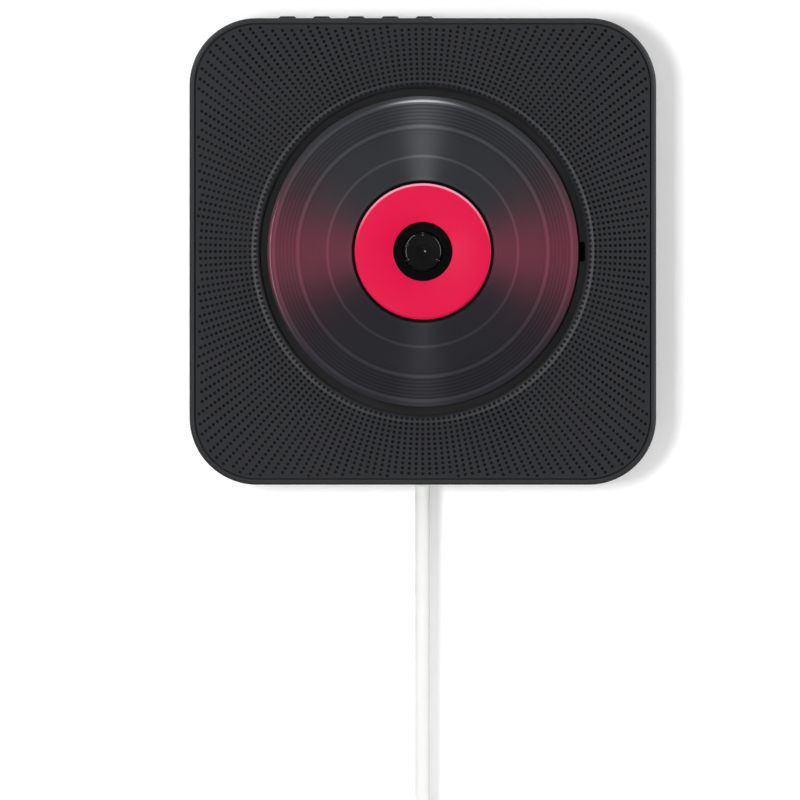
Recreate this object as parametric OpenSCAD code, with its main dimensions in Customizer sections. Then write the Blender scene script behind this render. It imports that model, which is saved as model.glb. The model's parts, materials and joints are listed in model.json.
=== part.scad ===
// Wall mounted disc player: a square housing hangs on a steel bracket, with the disc in an
// open round well and a power lead that is also the pull cord of the switch.
// Row frame: X to the right, Z up, +Y into the wall, origin on the wall at the disc's axis.
// Pieces are drawn lying on the wall: x to the right, y up, z towards the room.

/* [Housing] */
// Side of the square front
body_w = 180; // [176:1:200]
// Front of the rim, measured from the wall
front_h = 40; // [39:0.5:46]
// Radius of the four corners seen from the front
corner_r = 26; // [24:0.5:30]
// Thickness of the side walls
wall = 2.4; // [2:0.1:3]
// Gap between the rear cover and the wall
wall_gap = 1; // [0.6:0.1:2]
// Thickness of the rear cover's floor
cover_t = 2.2; // [1.8:0.1:3]
// Height of the seam between rear cover and front shell
seam_h = 12; // [11:0.5:14]
// Rounding of the front edge
front_edge_r = 1.2; // [0.6:0.1:1.7]
// Rounding of the back edge
back_edge_r = 3; // [1:0.5:5]
// Width of the rim round the front panel
rim_w = 1.8; // [1.2:0.1:2]
// Groove between the rim and the front panel
rim_groove = 0.4; // [0.3:0.1:0.6]
// How far the front panel lies below the rim
panel_drop = 0.5; // [0.2:0.1:1]
// Thickness of the perforated front panel
skin_t = 1.2; // [1:0.1:1.5]
// Thickness of the wall behind the front panel
baffle_t = 2.3; // [2:0.1:3]

/* [Disc and well] */
// Diameter of the disc
disc_d = 120; // [116:1:122]
// Thickness of the disc
disc_t = 1.2; // [1:0.1:1.5]
// Centre hole of the disc
disc_bore = 15; // [14:0.5:16]
// Outer diameter of the printed label
label_d = 53; // [46:1:60]
// Inner diameter of the printed label
label_hole_d = 22.8; // [18:0.2:26]
// Thickness of the label
label_t = 0.12; // [0.08:0.02:0.2]
// Gap between the disc's edge and the wall of the well
well_gap = 3; // [2:0.1:4]
// How far the disc's face lies below the front panel
disc_drop = 2.1; // [1.5:0.1:2.6]
// Gap between the disc and the floor of the well
floor_gap = 2.8; // [2.4:0.1:3.4]
// Thickness of the floor of the well
deck_t = 2; // [1.6:0.1:2.4]
// Rounding of the lip of the well
lip_r = 3.5; // [3:0.1:4]

/* [Perforation] */
// Diameter of a hole in the front panel
hole_d = 1; // [0.8:0.1:1.4]
// Holes on one circle
hole_columns = 100; // [80:2:120]
// Distance between circles of holes
hole_row_pitch = 3.81; // [3:0.01:5]
// Least distance of a hole's centre from the panel's edge
hole_margin = 2.4; // [2:0.1:5]

/* [Mechanism] */
// Diameter of the turntable
turntable_d = 29; // [26:0.5:30]
// Distance of the pickup lens from the disc's axis at the first track
lens_first_r = 24; // [23:0.5:26]
// Travel of the pickup
lens_travel = 34; // [30:0.5:35]
// Travel of the lens to either side when it focuses
focus_travel = 0.4; // [0.3:0.05:0.5]
// Module of the gear teeth
gear_module = 0.6; // [0.55:0.01:0.62]
// Teeth of the gear that drives the rack
rack_gear_teeth = 16; // [14:1:17]
// Teeth of the motor's pinion
pinion_teeth = 16; // [14:1:17]
// Teeth of the gear that the pinion drives
wheel_teeth = 40; // [36:1:42]
// Diameter of the guide rods
rod_d = 3; // [2.6:0.1:3.2]
// Half of the distance between the guide rods
rod_y = 17; // [16.5:0.1:18]

/* [Speakers] */
// Diameter of the speaker frames
speaker_d = 41; // [38:0.5:42]
// Depth of the speakers behind the front wall
speaker_depth = 19; // [17:0.5:22]

/* [Buttons] */
// Distance between buttons
button_pitch = 13.25; // [12:0.25:14]
// Place of the first button from the middle
button_first_x = -52.3; // [-56:0.1:-48]
// Width of a button
button_w = 6.8; // [6:0.1:8]
// Length of a button from front to back
button_l = 12; // [10:0.5:13]
// How far a button stands out
button_proud = 1; // [0.9:0.1:1.6]
// Travel of a button
button_travel = 0.8; // [0.5:0.1:0.85]

/* [Wall bracket] */
// Width of the bracket plate
bracket_w = 66; // [62:1:70]
// Height of the bracket plate
bracket_l = 60; // [56:1:64]
// Thickness of the bracket plate
bracket_t = 1.6; // [1.2:0.1:2]
// Distance between the screw holes, both ways
screw_spacing = 44; // [40:1:46]
// Diameter of the screw holes
screw_hole_d = 4.5; // [4:0.1:5]
// Height of the hooks' upturned tips
hook_tip = 6; // [4:0.5:7]
// Width of the hooks
hook_w = 9; // [7:0.5:11]
// Depth of the pocket that the bracket lies in
pocket_depth = 5; // [4.5:0.1:6]

/* [Cord] */
// Diameter of the power lead
cord_d = 5.8; // [5:0.1:5.8]
// Height of the lead's centre line over the wall
cord_h = 20; // [19:0.5:22]
// Travel of the pull switch
pull_travel = 6; // [4:0.5:7]
// Turns in the coil
coil_turns = 6.125; // [4.125:1:6.125]
// Distance between turns of the coil
coil_pitch = 6.4; // [6.4:0.1:7]
// Radius in the middle of the coil's turns
coil_mid_r = 34; // [34:0.5:36]

/* [Fits] */
// Gap between pieces that move past each other
clear = 0.3; // [0.2:0.05:0.4]
// Gap round a turning shaft
running = 0.05; // [0.02:0.01:0.08]
// Gap round a piece that is pushed in
seat = 0.02; // [0.01:0.01:0.05]

/* [Hidden] */
$fn = 48;

// Front panel and its wall
panel_h = front_h - panel_drop;
skin_back = panel_h - skin_t;
baffle_back = skin_back - baffle_t;
panel_inset = rim_w + rim_groove;
panel_w = body_w - 2 * panel_inset;
panel_r = corner_r - panel_inset;
corner_c = body_w / 2 - corner_r;

// Disc, well and floor
disc_front = panel_h - disc_drop;
disc_back = disc_front - disc_t;
deck_front = disc_back - floor_gap;
deck_back = deck_front - deck_t;
well_r = disc_d / 2 + well_gap;
lip_outer = well_r + lip_r;
lip_h = panel_h - lip_r;
well_wall = 2.4;
flange_r = well_r + 4.5;
lug_r = flange_r + 2;
lug_size = 4;
lug_bore = 1.1;
lug_turns = [30, 150, 210, 330];

// Bracket and rear cover
hook_x = screw_spacing / 2 - 6;
hook_y = bracket_l / 2 - bracket_t;
cover_back = wall_gap;
cover_floor = cover_back + cover_t;
pocket_h = cover_back + pocket_depth;
pocket_w = bracket_w + 8;
pocket_l = bracket_l + 2 * hook_tip + 8;
tongue_t = 1;
tongue_l = 2;
sleeve_r = 4;
cover_screw_at = [for (s = [-1, 1]) each [[s * (corner_c + 10), corner_c + 10],
    [s * (body_w / 2 - wall - sleeve_r - 2), -8],
    [s * (corner_c - speaker_d / 2 - 7.5), 10 - body_w / 2]]];
pilot_r = 1.3;
head_r = 2.8;
screw_seat = 8;
boss_h = seam_h + 3;
pad_at = [for (x = [-1, 1], y = [-1, 1]) [x, y] * (corner_c - 6)];
pad_r = 5;
pad_sink = 0.8;

// Circuit boards on posts of the rear cover
board_t = 1.6;
main_board_at = [40 - body_w / 2, 16];
main_board_size = [52, 58];
main_board_h = 10;
power_board_at = [body_w / 2 - 30, 8];
power_board_size = [33, 62];
power_board_h = 8;
post_inset = 3.5;
board_post_r = 2.4;
board_screw_r = 1;
board_screw_l = 3.4;

// Mechanism, from the deck down: sled on its rods, gears, chassis plate
sled_top = deck_back - 1.2;
rod_h = sled_top - 1 - rod_d / 2;
sled_bottom = rod_h - rod_d / 2 - 1.4;
wheel_t = 2.2;
wheel_top = sled_bottom - 0.6;
wheel_bottom = wheel_top - wheel_t;
gear_top = wheel_top + 4.4;
plate_t = 2;
plate_top = wheel_bottom - 1;
plate_h = plate_top - plate_t;
tall_part = plate_h - 1.4 - power_board_h - board_t;
motor_r = 10.5;
motor_top = deck_back - 1.6;
turntable_top = disc_back - 0.2;
turntable_t = 2.5;
mat_t = 0.5;
mat_r = turntable_d / 2 - 0.3;
mat_hole_r = mat_r - 2.6;
hub_r = disc_bore / 2 - 0.15;
hub_top = panel_h - 0.3;
ball_r = 1.2;
ball_h = disc_front + 0.5;
shaft_r = 1;
sled_inner = 13;
sled_outer = 9;
sled_half = 21;
bush_half = 3.6;
rod_block = 4;
rod_start = lens_first_r - sled_inner - 1 - rod_block;
rod_end = lens_first_r + lens_travel + sled_outer + 1 + rod_block;
lens_r = 3.6;
lens_bottom = sled_top - 1.4;
lens_tip = disc_back - focus_travel - 1.6;
slot_half = 10;
slot_start = 17;
notch_half = 3.75;
damper_at = [[-15, 36], [-15, -36], [50, 36], [52, -36]];
post_r = 2.6;
damper_r = 5.4;
damper_screw_r = 1.2;

// Gears: the rack lies on the sled's lower side, its teeth point down
rack_gear_r = gear_module * rack_gear_teeth / 2;
wheel_r = gear_module * wheel_teeth / 2;
pinion_r = gear_module * pinion_teeth / 2;
addendum = 0.9 * gear_module;
dedendum = 1.2 * gear_module;
backlash = 0.14;
rack_line = -(sled_half + 3.4);
gear_x = lens_first_r + 10;
gear_y = rack_line - rack_gear_r;
pinion_dir = 217;
pinion_x = gear_x + (wheel_r + pinion_r) * cos(pinion_dir);
pinion_y = gear_y + (wheel_r + pinion_r) * sin(pinion_dir);
gear_post_r = 1.5;
sled_motor_r = 10;
sled_motor_l = plate_h - pocket_h - cover_t - 2.8;

// Buttons: the cap slides in the top wall and its stem in the switch
button_names = 5;
button_h = 22;
button_flange = 0.8;
stem_r = 1.6;
stem_l = 7;
switch_l = 5;
switch_w = 6;
top_inside = body_w / 2 - wall;
flange_y = top_inside - clear - button_flange;
switch_y = flange_y - stem_l + switch_l - 2.4;

// Cord, coil and plug, in row coordinates: x, y and z
cord_y = -cord_h;
cord_r = cord_d / 2;
exit_z = -body_w / 2;
bush_r = cord_r + 0.5;
bush_flange_r = bush_r + 2.6;
guide_half = 9;
guide_t = 1.6;
guide_low = exit_z + back_edge_r + wall + clear;
spring_seat = guide_low + 1.5;
spring_r = 5.2;
spring_wire = 0.8;
spring_turns = 5;
slider_low = spring_seat + pull_travel + (spring_turns + 1) * spring_wire + 2;
slider_top = slider_low + 4;
cord_grip = 2;
cord_start = slider_low + cord_grip;
coil_outer_r = coil_mid_r + 1.5 * coil_pitch;
coil_inner_r = coil_mid_r - 1.5 * coil_pitch;
coil_z = -289;
coil_layer = coil_pitch;
coil_entry = 45;
ring_turn = 24;
// Free stretch of the lead: straight down, then over to the coil's outer turn
cord_route = [
    [0, cord_y, cord_start], [0, cord_y, -100], [0, cord_y, -120], [0, cord_y, -140],
    [0, cord_y, -160], [0, cord_y, -180], [0, cord_y, -200], [0, cord_y, -212],
    [0.5, cord_y, -219], [2.5, cord_y, -229], [7, cord_y, -239]
];
tie_t = 1;
tie_w = 9;
plug_sleeve_l = 26;
plug_l = 34;
plug_w = 26;
plug_t = 14;
plug_pin_d = 4;
plug_pin_l = 19;
plug_pin_spacing = 18.6;

black = [0.16, 0.165, 0.175];
dark = [0.1, 0.1, 0.105];
steel = [0.72, 0.73, 0.75];
white = [0.93, 0.93, 0.92];
crimson = [0.86, 0.1, 0.27];
board_green = [0.1, 0.32, 0.2];

// Turns what is drawn lying on the wall into the row frame
module on_wall() {
    rotate([90, 0, 0]) children();
}

// Lifts a flat outline between two heights over the wall
module between(low, high) {
    translate([0, 0, low]) linear_extrude(high - low) children();
}

module rod(low, high, radius) {
    translate([0, 0, low]) cylinder(h = high - low, r = radius);
}

module rounded_square(side, radius) {
    square([side - 2 * radius, side], center = true);
    square([side, side - 2 * radius], center = true);
    for (x = [-1, 1], y = [-1, 1])
        translate([x, y] * (side / 2 - radius)) circle(radius);
}

module rounded_box(width, length, radius) {
    square([width - 2 * radius, length], center = true);
    square([width, length - 2 * radius], center = true);
    for (x = [-1, 1], y = [-1, 1])
        translate([x * (width / 2 - radius), y * (length / 2 - radius)]) circle(radius);
}

// Carries a profile round the rounded square. Its x = 0 is the outer face, inwards is negative
module swept_square(side, radius) {
    run = side - 2 * radius;
    for (turn = [0:90:270]) rotate(turn) {
        translate([side / 2 - radius, side / 2 - radius])
            rotate_extrude(angle = 90) translate([radius, 0]) children();
        translate([side / 2, run / 2]) rotate([90, 0, 0]) linear_extrude(run) children();
    }
}

// Tube along a list of points: a flat ring of corners at each, square to the path there
function unit(v) = v / norm(v);
function heading(path, i) =
    unit(path[min(i + 1, len(path) - 1)] - path[max(i - 1, 0)]);
function ring(centre, along, side, radius, corners) =
    let (u = unit(cross(along, side)), v = cross(u, along))
    [for (k = [0:corners - 1]) centre + radius * (cos(360 * k / corners) * u
        + sin(360 * k / corners) * v)];

module tube(path, radius, corners, side, first, last) {
    n = len(path);
    points = [for (i = [0:n - 1])
        each ring(path[i], i == 0 ? first : i == n - 1 ? last : heading(path, i),
            side, radius, corners)];
    sides = [for (i = [0:n - 2], k = [0:corners - 1])
        let (a = i * corners + k, b = i * corners + (k + 1) % corners)
        each [[a, b, b + corners], [a, b + corners, a + corners]]];
    ends = [for (k = [1:corners - 2])
        each [[0, k + 1, k], [(n - 1) * corners, (n - 1) * corners + k,
            (n - 1) * corners + k + 1]]];
    polyhedron(points = points, faces = concat(sides, ends));
}

// Involute gear outline: three points up each flank, four flats over tip and root
function involute(angle) = tan(angle) - angle * PI / 180;
function tooth_half(r, pitch_r, teeth) =
    let (base_r = pitch_r * cos(20), a = r > base_r ? acos(base_r / r) : 0)
    90 / teeth - backlash / (4 * pitch_r) * 180 / PI
        + (involute(20) - involute(a)) * 180 / PI;

module gear_outline(pitch_r, teeth) {
    steps = [pitch_r - dedendum, pitch_r - dedendum / 2, pitch_r, pitch_r + addendum / 2,
        pitch_r + addendum];
    polygon([for (t = [0:teeth - 1]) each [
        for (side = [-1, 1], i = side < 0 ? [0:4] : [4:-1:0])
            let (r = steps[i], a = 360 * t / teeth + side * tooth_half(r, pitch_r, teeth))
            r * [cos(a), sin(a)]]]);
}

// Wall bracket: plate, two side flanges and two hooks over the rear cover's pocket floor
module hook_profile() {
    floor_top = pocket_h + cover_t;
    reach = floor_top + clear + bracket_t;
    square([bracket_t, reach]);
    translate([0, reach - bracket_t]) square([hook_tip + bracket_t, bracket_t]);
}

module hook_at(x, y) {
    translate([x - hook_w / 2, y, 0]) rotate([90, 0, 90]) linear_extrude(hook_w)
        hook_profile();
}

module wall_bracket() {
    color(steel) on_wall() {
        difference() {
            between(0, bracket_t) union() {
                rounded_box(bracket_w, bracket_l - 2 * hook_tip, 5);
                for (x = [-hook_x, hook_x])
                    translate([x, 0]) rounded_box(hook_w, bracket_l, 1);
            }
            for (x = [-1, 1], y = [-1, 1])
                translate([x, y] * screw_spacing / 2) rod(-1, bracket_t + 1, screw_hole_d / 2);
            rod(-1, bracket_t + 1, 9);
        }
        for (x = [-hook_x, hook_x]) hook_at(x, hook_y);
    }
}

// Front shell: swept side wall, wall behind the panel, screw bosses
module side_wall_profile() {
    translate([-wall, seam_h]) square([wall, skin_back - seam_h]);
    translate([-rim_w, seam_h]) square([rim_w, front_h - front_edge_r - seam_h]);
    translate([-rim_w, seam_h]) square([rim_w - front_edge_r, front_h - seam_h]);
    intersection() {
        translate([-front_edge_r, front_h - front_edge_r]) circle(front_edge_r);
        translate([-front_edge_r, seam_h]) square([front_edge_r, front_h - seam_h]);
    }
}

module speaker_places() {
    for (x = [-1, 1]) translate([x * corner_c, -corner_c]) children();
}

module speaker_port() {
    port_r = speaker_d / 2 - 3.5;
    difference() {
        circle(port_r);
        for (turn = [0, 90]) rotate(turn) square([2 * port_r + 2, 1.8], center = true);
    }
}

module button_places() {
    for (i = [0:button_names - 1]) translate([button_first_x + i * button_pitch, 0]) children();
}

// Pill-shaped outline of a button seen from above: x across, y towards the room
module button_outline(grow) {
    translate([0, button_h]) rounded_box(button_w + 2 * grow, button_l + 2 * grow, 2 + grow);
}

// Stands an outline drawn in x and height on the level y
module upright(low, high) {
    translate([0, high, 0]) rotate([90, 0, 0]) linear_extrude(high - low) children();
}

module cord_hole(radius, low, high) {
    translate([0, high, cord_h]) rotate([90, 0, 0]) cylinder(h = high - low, r = radius);
}

module front_shell() {
    color(black) on_wall() difference() {
        union() {
            swept_square(body_w, corner_r) side_wall_profile();
            between(baffle_back, skin_back) difference() {
                rounded_square(body_w - wall, corner_r - wall / 2);
                circle(lip_outer, $fn = 96);
                speaker_places() speaker_port();
            }
            for (p = cover_screw_at) translate(p) rod(boss_h, baffle_back + 1, sleeve_r);
            for (turn = lug_turns) rotate(turn) translate([lug_r, 0])
                rod(deck_front, baffle_back + 1, lug_size - 1);
            speaker_places() between(baffle_back - 2, baffle_back + 1) difference() {
                circle(speaker_d / 2 + 2);
                circle(speaker_d / 2 + 0.2);
            }
        }
        for (p = cover_screw_at) translate(p) rod(boss_h - 1, boss_h + 14, pilot_r);
        for (turn = lug_turns) rotate(turn) translate([lug_r, 0])
            rod(deck_front - 1, skin_back - 1.4, lug_bore);
        upright(top_inside - 1, body_w / 2 + 1) button_places() button_outline(clear);
        cord_hole(bush_r + 1.4 + seat, exit_z - 1, exit_z + wall + 1);
    }
}

// Ring that walls the well. It is seated on the deck and between the posts, under the lip
module well_ring_profile() {
    translate([well_r, deck_front]) square([well_wall, lip_h - deck_front]);
    translate([well_r, lip_h - 2]) square([lip_r + 1, min(2, baffle_back - lip_h + 2)]);
    translate([lip_outer, lip_h]) intersection() {
        circle(lip_r - skin_t - seat);
        translate([-lip_r, 0]) square([lip_r - seat, lip_r]);
    }
}

module well_ring() {
    color(black) on_wall() difference() {
        rotate_extrude($fn = 96) well_ring_profile();
        for (turn = lug_turns) rotate(turn) translate([lug_r, 0])
            rod(deck_front - 1, baffle_back + 1, lug_size - 1 + seat);
    }
}

// Perforated front panel with the rolled lip of the well
function hole_inside(p) =
    let (edge = panel_w / 2 - hole_margin, c = edge - (panel_r - hole_margin))
    max(abs(p.x), abs(p.y)) < edge
        && (min(abs(p.x), abs(p.y)) < c
            || norm([max(abs(p.x) - c, 0), max(abs(p.y) - c, 0)]) < panel_r - hole_margin);

module grille_skin() {
    first_row = ceil((lip_outer + hole_d) / hole_row_pitch);
    last_row = floor(panel_w * 0.7 / hole_row_pitch);
    color(black) on_wall() {
        between(skin_back, panel_h) difference() {
            rounded_square(panel_w, panel_r);
            circle(lip_outer, $fn = 96);
            for (row = [first_row:last_row], column = [0:hole_columns - 1])
                let (a = column * 360 / hole_columns,
                    p = row * hole_row_pitch * [cos(a), sin(a)])
                if (hole_inside(p)) translate(p) circle(d = hole_d, $fn = 16);
        }
        rotate_extrude($fn = 96) translate([lip_outer, lip_h]) difference() {
            intersection() {
                circle(lip_r);
                translate([-lip_r, 0]) square(lip_r);
            }
            circle(lip_r - skin_t);
        }
    }
}

// Rear cover: floor, side wall, bracket pocket, slots, screw sleeves and board posts
module cover_wall_profile() {
    translate([-wall - tongue_t, cover_back + back_edge_r])
        square([wall + tongue_t, seam_h - cover_back - back_edge_r]);
    translate([-wall - tongue_t - seat, seam_h - 2]) square([tongue_t, 2 + tongue_l]);
    intersection() {
        translate([-back_edge_r, cover_back + back_edge_r]) circle(back_edge_r);
        translate([-back_edge_r, cover_back]) square(back_edge_r);
    }
    translate([-back_edge_r - wall, cover_back]) square([wall, cover_t + back_edge_r]);
}

module hook_slot() {
    low = hook_y + bracket_t + clear - (2 * bracket_t + hook_tip + 2 * clear);
    translate([0, low]) square([hook_w + 2, 2 * bracket_t + hook_tip + 2 * clear]);
}

function corners_of(at, size) = [for (x = [-1, 1], y = [-1, 1])
    [at.x + x * (size.x / 2 - post_inset), at.y + y * (size.y / 2 - post_inset)]];

module board_posts(at, size, height) {
    for (p = corners_of(at, size)) translate(p) rod(cover_back + 0.5, height, board_post_r);
}

module vents() {
    for (x = [-1, 1], i = [0:6])
        translate([x * 62, 62 - i * 4]) rounded_box(26, 1.6, 0.7);
}

module rear_cover() {
    color(black) on_wall() difference() {
        union() {
            swept_square(body_w, corner_r) cover_wall_profile();
            between(cover_back, cover_floor)
                rounded_square(body_w - 2 * back_edge_r, corner_r - back_edge_r);
            between(cover_back, pocket_h + cover_t) rounded_box(pocket_w + 4, pocket_l + 4, 6);
            for (p = cover_screw_at) translate(p) rod(cover_back + 0.5, boss_h, sleeve_r);
            board_posts(main_board_at, main_board_size, main_board_h);
            board_posts(power_board_at, power_board_size, power_board_h);
        }
        between(cover_back - 1, pocket_h) rounded_box(pocket_w, pocket_l, 4);
        for (x = [-hook_x, hook_x]) translate([x - hook_w / 2 - 1, 0])
            between(cover_back - 1, pocket_h + cover_t + 1) hook_slot();
        for (p = cover_screw_at) translate(p) {
            rod(cover_back - 1, screw_seat, head_r + 0.4);
            rod(cover_back - 1, boss_h + 1, pilot_r + 0.4);
        }
        between(cover_back - 1, cover_floor + 1) vents();
        for (p = corners_of(main_board_at, main_board_size))
            translate(p) rod(main_board_h - board_screw_l, boss_h, board_screw_r + seat);
        for (p = corners_of(power_board_at, power_board_size))
            translate(p) rod(power_board_h - board_screw_l, boss_h, board_screw_r + seat);
        for (p = pad_at) translate(p) rod(cover_back - 1, cover_back + pad_sink, pad_r + seat);
        cord_hole(bush_flange_r + clear, exit_z + wall, exit_z + wall + 3);
    }
}

module wall_pads() {
    color(dark) on_wall() for (p = pad_at) translate(p) {
        rod(0, cover_back + pad_sink, pad_r);
    }
}

module screw(seat_h, tip_h, head, shank) {
    difference() {
        union() {
            rod(seat_h - 1.8, seat_h, head);
            rod(seat_h - 0.5, tip_h, shank);
        }
        for (turn = [0, 90]) rotate(turn)
            translate([0, 0, seat_h - 1.8]) cube([head * 1.2, 0.8, 1.6], center = true);
    }
}

module cover_screws() {
    color(steel) on_wall() for (p = cover_screw_at)
        translate(p) screw(screw_seat, boss_h + 10, head_r, pilot_r - seat);
}

// Floor of the well: pickup slot, turntable opening, damper posts and a service seam
module disc_deck() {
    color(dark) on_wall() {
        difference() {
            union() {
                rod(deck_back, deck_front, well_r - 0.1);
                between(deck_back, deck_front - 0.01) {
                    circle(flange_r, $fn = 96);
                    for (turn = lug_turns) rotate(turn) hull() {
                        translate([lug_r, 0]) circle(lug_size, $fn = 32);
                        translate([flange_r - lug_size, 0]) circle(lug_size, $fn = 32);
                    }
                }
                rod(deck_back, deck_front + 0.8, turntable_d / 2 + 4);
                for (p = damper_at) translate(p) {
                    rod(plate_top + 2, deck_front - 0.5, damper_r - 1);
                    rod(plate_h - 2, deck_front - 0.5, post_r);
                }
            }
            rod(deck_back - 1, deck_front + 2, turntable_d / 2 + 1.5);
            translate([slot_start, -slot_half, deck_back - 1])
                cube([disc_d / 2 - 0.3 - slot_start, 2 * slot_half, deck_t + 4]);
            translate([slot_start, -notch_half, deck_back - 1])
                cube([well_r - 0.4 - slot_start, 2 * notch_half, deck_t + 4]);
            rotate(-23) translate([30, -0.25, deck_front - 0.6])
                cube([well_r - 30.4, 0.5, 1]);
            for (turn = lug_turns) rotate(turn) translate([lug_r, 0])
                rod(deck_back - 1, deck_front + 1, lug_bore + 0.3);
            for (p = damper_at) translate(p)
                rod(plate_h - 3, plate_h + 6, damper_screw_r + seat);
        }
    }
}

module deck_screws() {
    color(steel) on_wall() for (turn = lug_turns) rotate(turn)
        translate([lug_r, 0]) screw(deck_back, deck_front + 3, 2.2, lug_bore - seat);
}

// Chassis plate of the mechanism with the rod blocks, gear post and damper ears
module rod_blocks() {
    for (x = [rod_start, rod_end - rod_block], y = [-rod_y, rod_y])
        translate([x, y - bush_half, plate_h])
            cube([rod_block, 2 * bush_half, rod_h + rod_d / 2 + 1.2 - plate_h]);
}

module chassis() {
    ear = damper_r + 2;
    plate_half = sled_half + 5;
    plate_reach = motor_r + 9.5;
    color(steel) on_wall() difference() {
        union() {
            between(plate_h, plate_top) difference() {
                union() {
                    translate([-plate_reach, -plate_half])
                        square([rod_end + plate_reach, 2 * plate_half]);
                    for (p = damper_at) {
                        translate(p) circle(ear);
                        translate([p.x - ear, min(p.y, 0)]) square([2 * ear, abs(p.y)]);
                    }
                    translate([pinion_x, pinion_y]) circle(sled_motor_r + 1.5);
                    translate([gear_x, gear_y]) circle(6);
                }
                translate([34, 8]) rounded_box(34, 20, 3);
            }
            rod_blocks();
            translate([gear_x, gear_y]) {
                rod(plate_h, gear_top + 1, gear_post_r);
                rod(plate_h, wheel_bottom - 0.2, gear_post_r + 1.6);
            }
        }
        for (p = damper_at) translate(p) rod(plate_h - 1, plate_top + 1, damper_r - 1.4);
        for (y = [-rod_y, rod_y]) translate([rod_start - 1, y, rod_h]) rotate([0, 90, 0])
            cylinder(h = rod_end - rod_start + 2, r = rod_d / 2 + seat);
        rod(plate_h - 1, plate_top + 1, 3);
        translate([pinion_x, pinion_y]) rod(plate_h - 1, plate_top + 1, 3);
    }
}

module chassis_dampers() {
    color(dark) on_wall() for (p = damper_at) translate(p) difference() {
        union() {
            rod(plate_h - 2, plate_h - seat, damper_r);
            rod(plate_h - 2, plate_top + 2 - seat, damper_r - 1.4 - seat);
            rod(plate_top + seat, plate_top + 2 - seat, damper_r);
        }
        rod(plate_h - 3, plate_top + 3, post_r + seat);
    }
}

module damper_screws() {
    color(steel) on_wall() for (p = damper_at)
        translate(p) screw(plate_h - 2, plate_h + 5, 4.2, damper_screw_r);
}

module guide_rods() {
    color(steel) on_wall() for (y = [-rod_y, rod_y])
        translate([rod_start, y, rod_h]) rotate([0, 90, 0])
            cylinder(h = rod_end - rod_start, r = rod_d / 2);
}

module spindle_motor() {
    color(steel) on_wall() difference() {
        union() {
            rod(plate_top, motor_top, motor_r);
            rod(motor_top - 1, motor_top + 1.2, 3.2);
            rod(plate_h, plate_top + 1, 3 - seat);
        }
        rod(plate_top + 2, motor_top + 3, shaft_r + running);
    }
}

module sled_motor() {
    color(steel) on_wall() translate([pinion_x, pinion_y]) difference() {
        union() {
            rod(plate_h - sled_motor_l, plate_h, sled_motor_r);
            rod(plate_h - 1, plate_top, 3 - seat);
        }
        rod(plate_h - sled_motor_l + 2, plate_top + 1, shaft_r + running);
    }
}

// Circuit boards on posts of the rear cover
module board(at, size, height) {
    color(board_green) on_wall() difference() {
        translate(at) between(height, height + board_t) square(size, center = true);
        for (p = corners_of(at, size)) translate(p)
            rod(height - 1, height + board_t + 1, board_screw_r + seat);
    }
}

module main_board() {
    board(main_board_at, main_board_size, main_board_h);
}

module power_board() {
    board(power_board_at, power_board_size, power_board_h);
}

module chip(x, y, width, length, height) {
    translate([x, y, 0]) between(0, height) square([width, length], center = true);
}

module main_board_parts() {
    color(dark) on_wall() translate([main_board_at.x, main_board_at.y, main_board_h + board_t]) {
        chip(-4, 10, 14, 14, 1.4);
        chip(10, -8, 10, 6, 1.6);
        chip(-12, -12, 8, 6, 1.6);
        chip(14, 18, 7, 9, 5);
        for (i = [0:2]) translate([-18 + 9 * i, -22, 0]) cylinder(h = 7, r = 3.2);
    }
}

module power_board_parts() {
    color([0.75, 0.62, 0.2]) on_wall()
        translate([power_board_at.x, power_board_at.y, power_board_h + board_t]) {
        chip(0, 6, 17, 15, tall_part - 1);
        chip(0, 6, 10, 19, tall_part - 3);
        translate([-6, -14, 0]) cylinder(h = tall_part, r = 5);
        translate([7, -16, 0]) cylinder(h = tall_part, r = 4);
        chip(9, 23, 8, 5, tall_part - 2);
    }
}

module board_screw(height) {
    mirror([0, 0, 1])
        screw(-height - board_t, board_screw_l - height - seat, 1.9, board_screw_r);
}

module board_screws() {
    color(steel) on_wall() {
        for (p = corners_of(main_board_at, main_board_size))
            translate(p) board_screw(main_board_h);
        for (p = corners_of(power_board_at, power_board_size))
            translate(p) board_screw(power_board_h);
    }
}

// Button board under the top wall, its switches, and the five caps
module button_board() {
    first = button_first_x - 7;
    span = (button_names - 1) * button_pitch + 14;
    color(board_green) on_wall() {
        upright(switch_y - switch_l - board_t, switch_y - switch_l)
            translate([first, button_h - 7]) square([span, baffle_back - button_h + 7]);
    }
}

module button_switches() {
    color(dark) on_wall() difference() {
        upright(switch_y - switch_l, switch_y) button_places()
            translate([0, button_h]) square(switch_w, center = true);
        upright(switch_y - switch_l + 0.8, switch_y + 1) button_places()
            translate([0, button_h]) circle(stem_r + 0.1);
    }
}

module button(index) {
    color(dark) on_wall() translate([button_first_x + index * button_pitch, 0]) {
        upright(flange_y + button_flange / 2, body_w / 2 + button_proud - 0.4)
            button_outline(0);
        difference() {
            upright(body_w / 2 + button_proud - 0.5, body_w / 2 + button_proud)
                button_outline(-0.5);
            for (i = [-3:3]) translate([0, body_w / 2 + button_proud, button_h + 1.4 * i])
                cube([button_w, 0.3, 0.5], center = true);
        }
        upright(flange_y, flange_y + button_flange) button_outline(1);
        upright(flange_y - stem_l + button_travel, flange_y + 0.2)
            translate([0, button_h]) circle(stem_r);
    }
}

// Pull switch: bush in the bottom wall, guide on the rear cover, slider, spring and switch
module cord_bush() {
    color(white) on_wall() difference() {
        union() {
            cord_hole(bush_r + 1.4, exit_z, exit_z + wall + 2);
            cord_hole(bush_flange_r, exit_z + wall + seat, exit_z + wall + 2);
        }
        cord_hole(bush_r, exit_z - 1, exit_z + wall + 3);
    }
}

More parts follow.
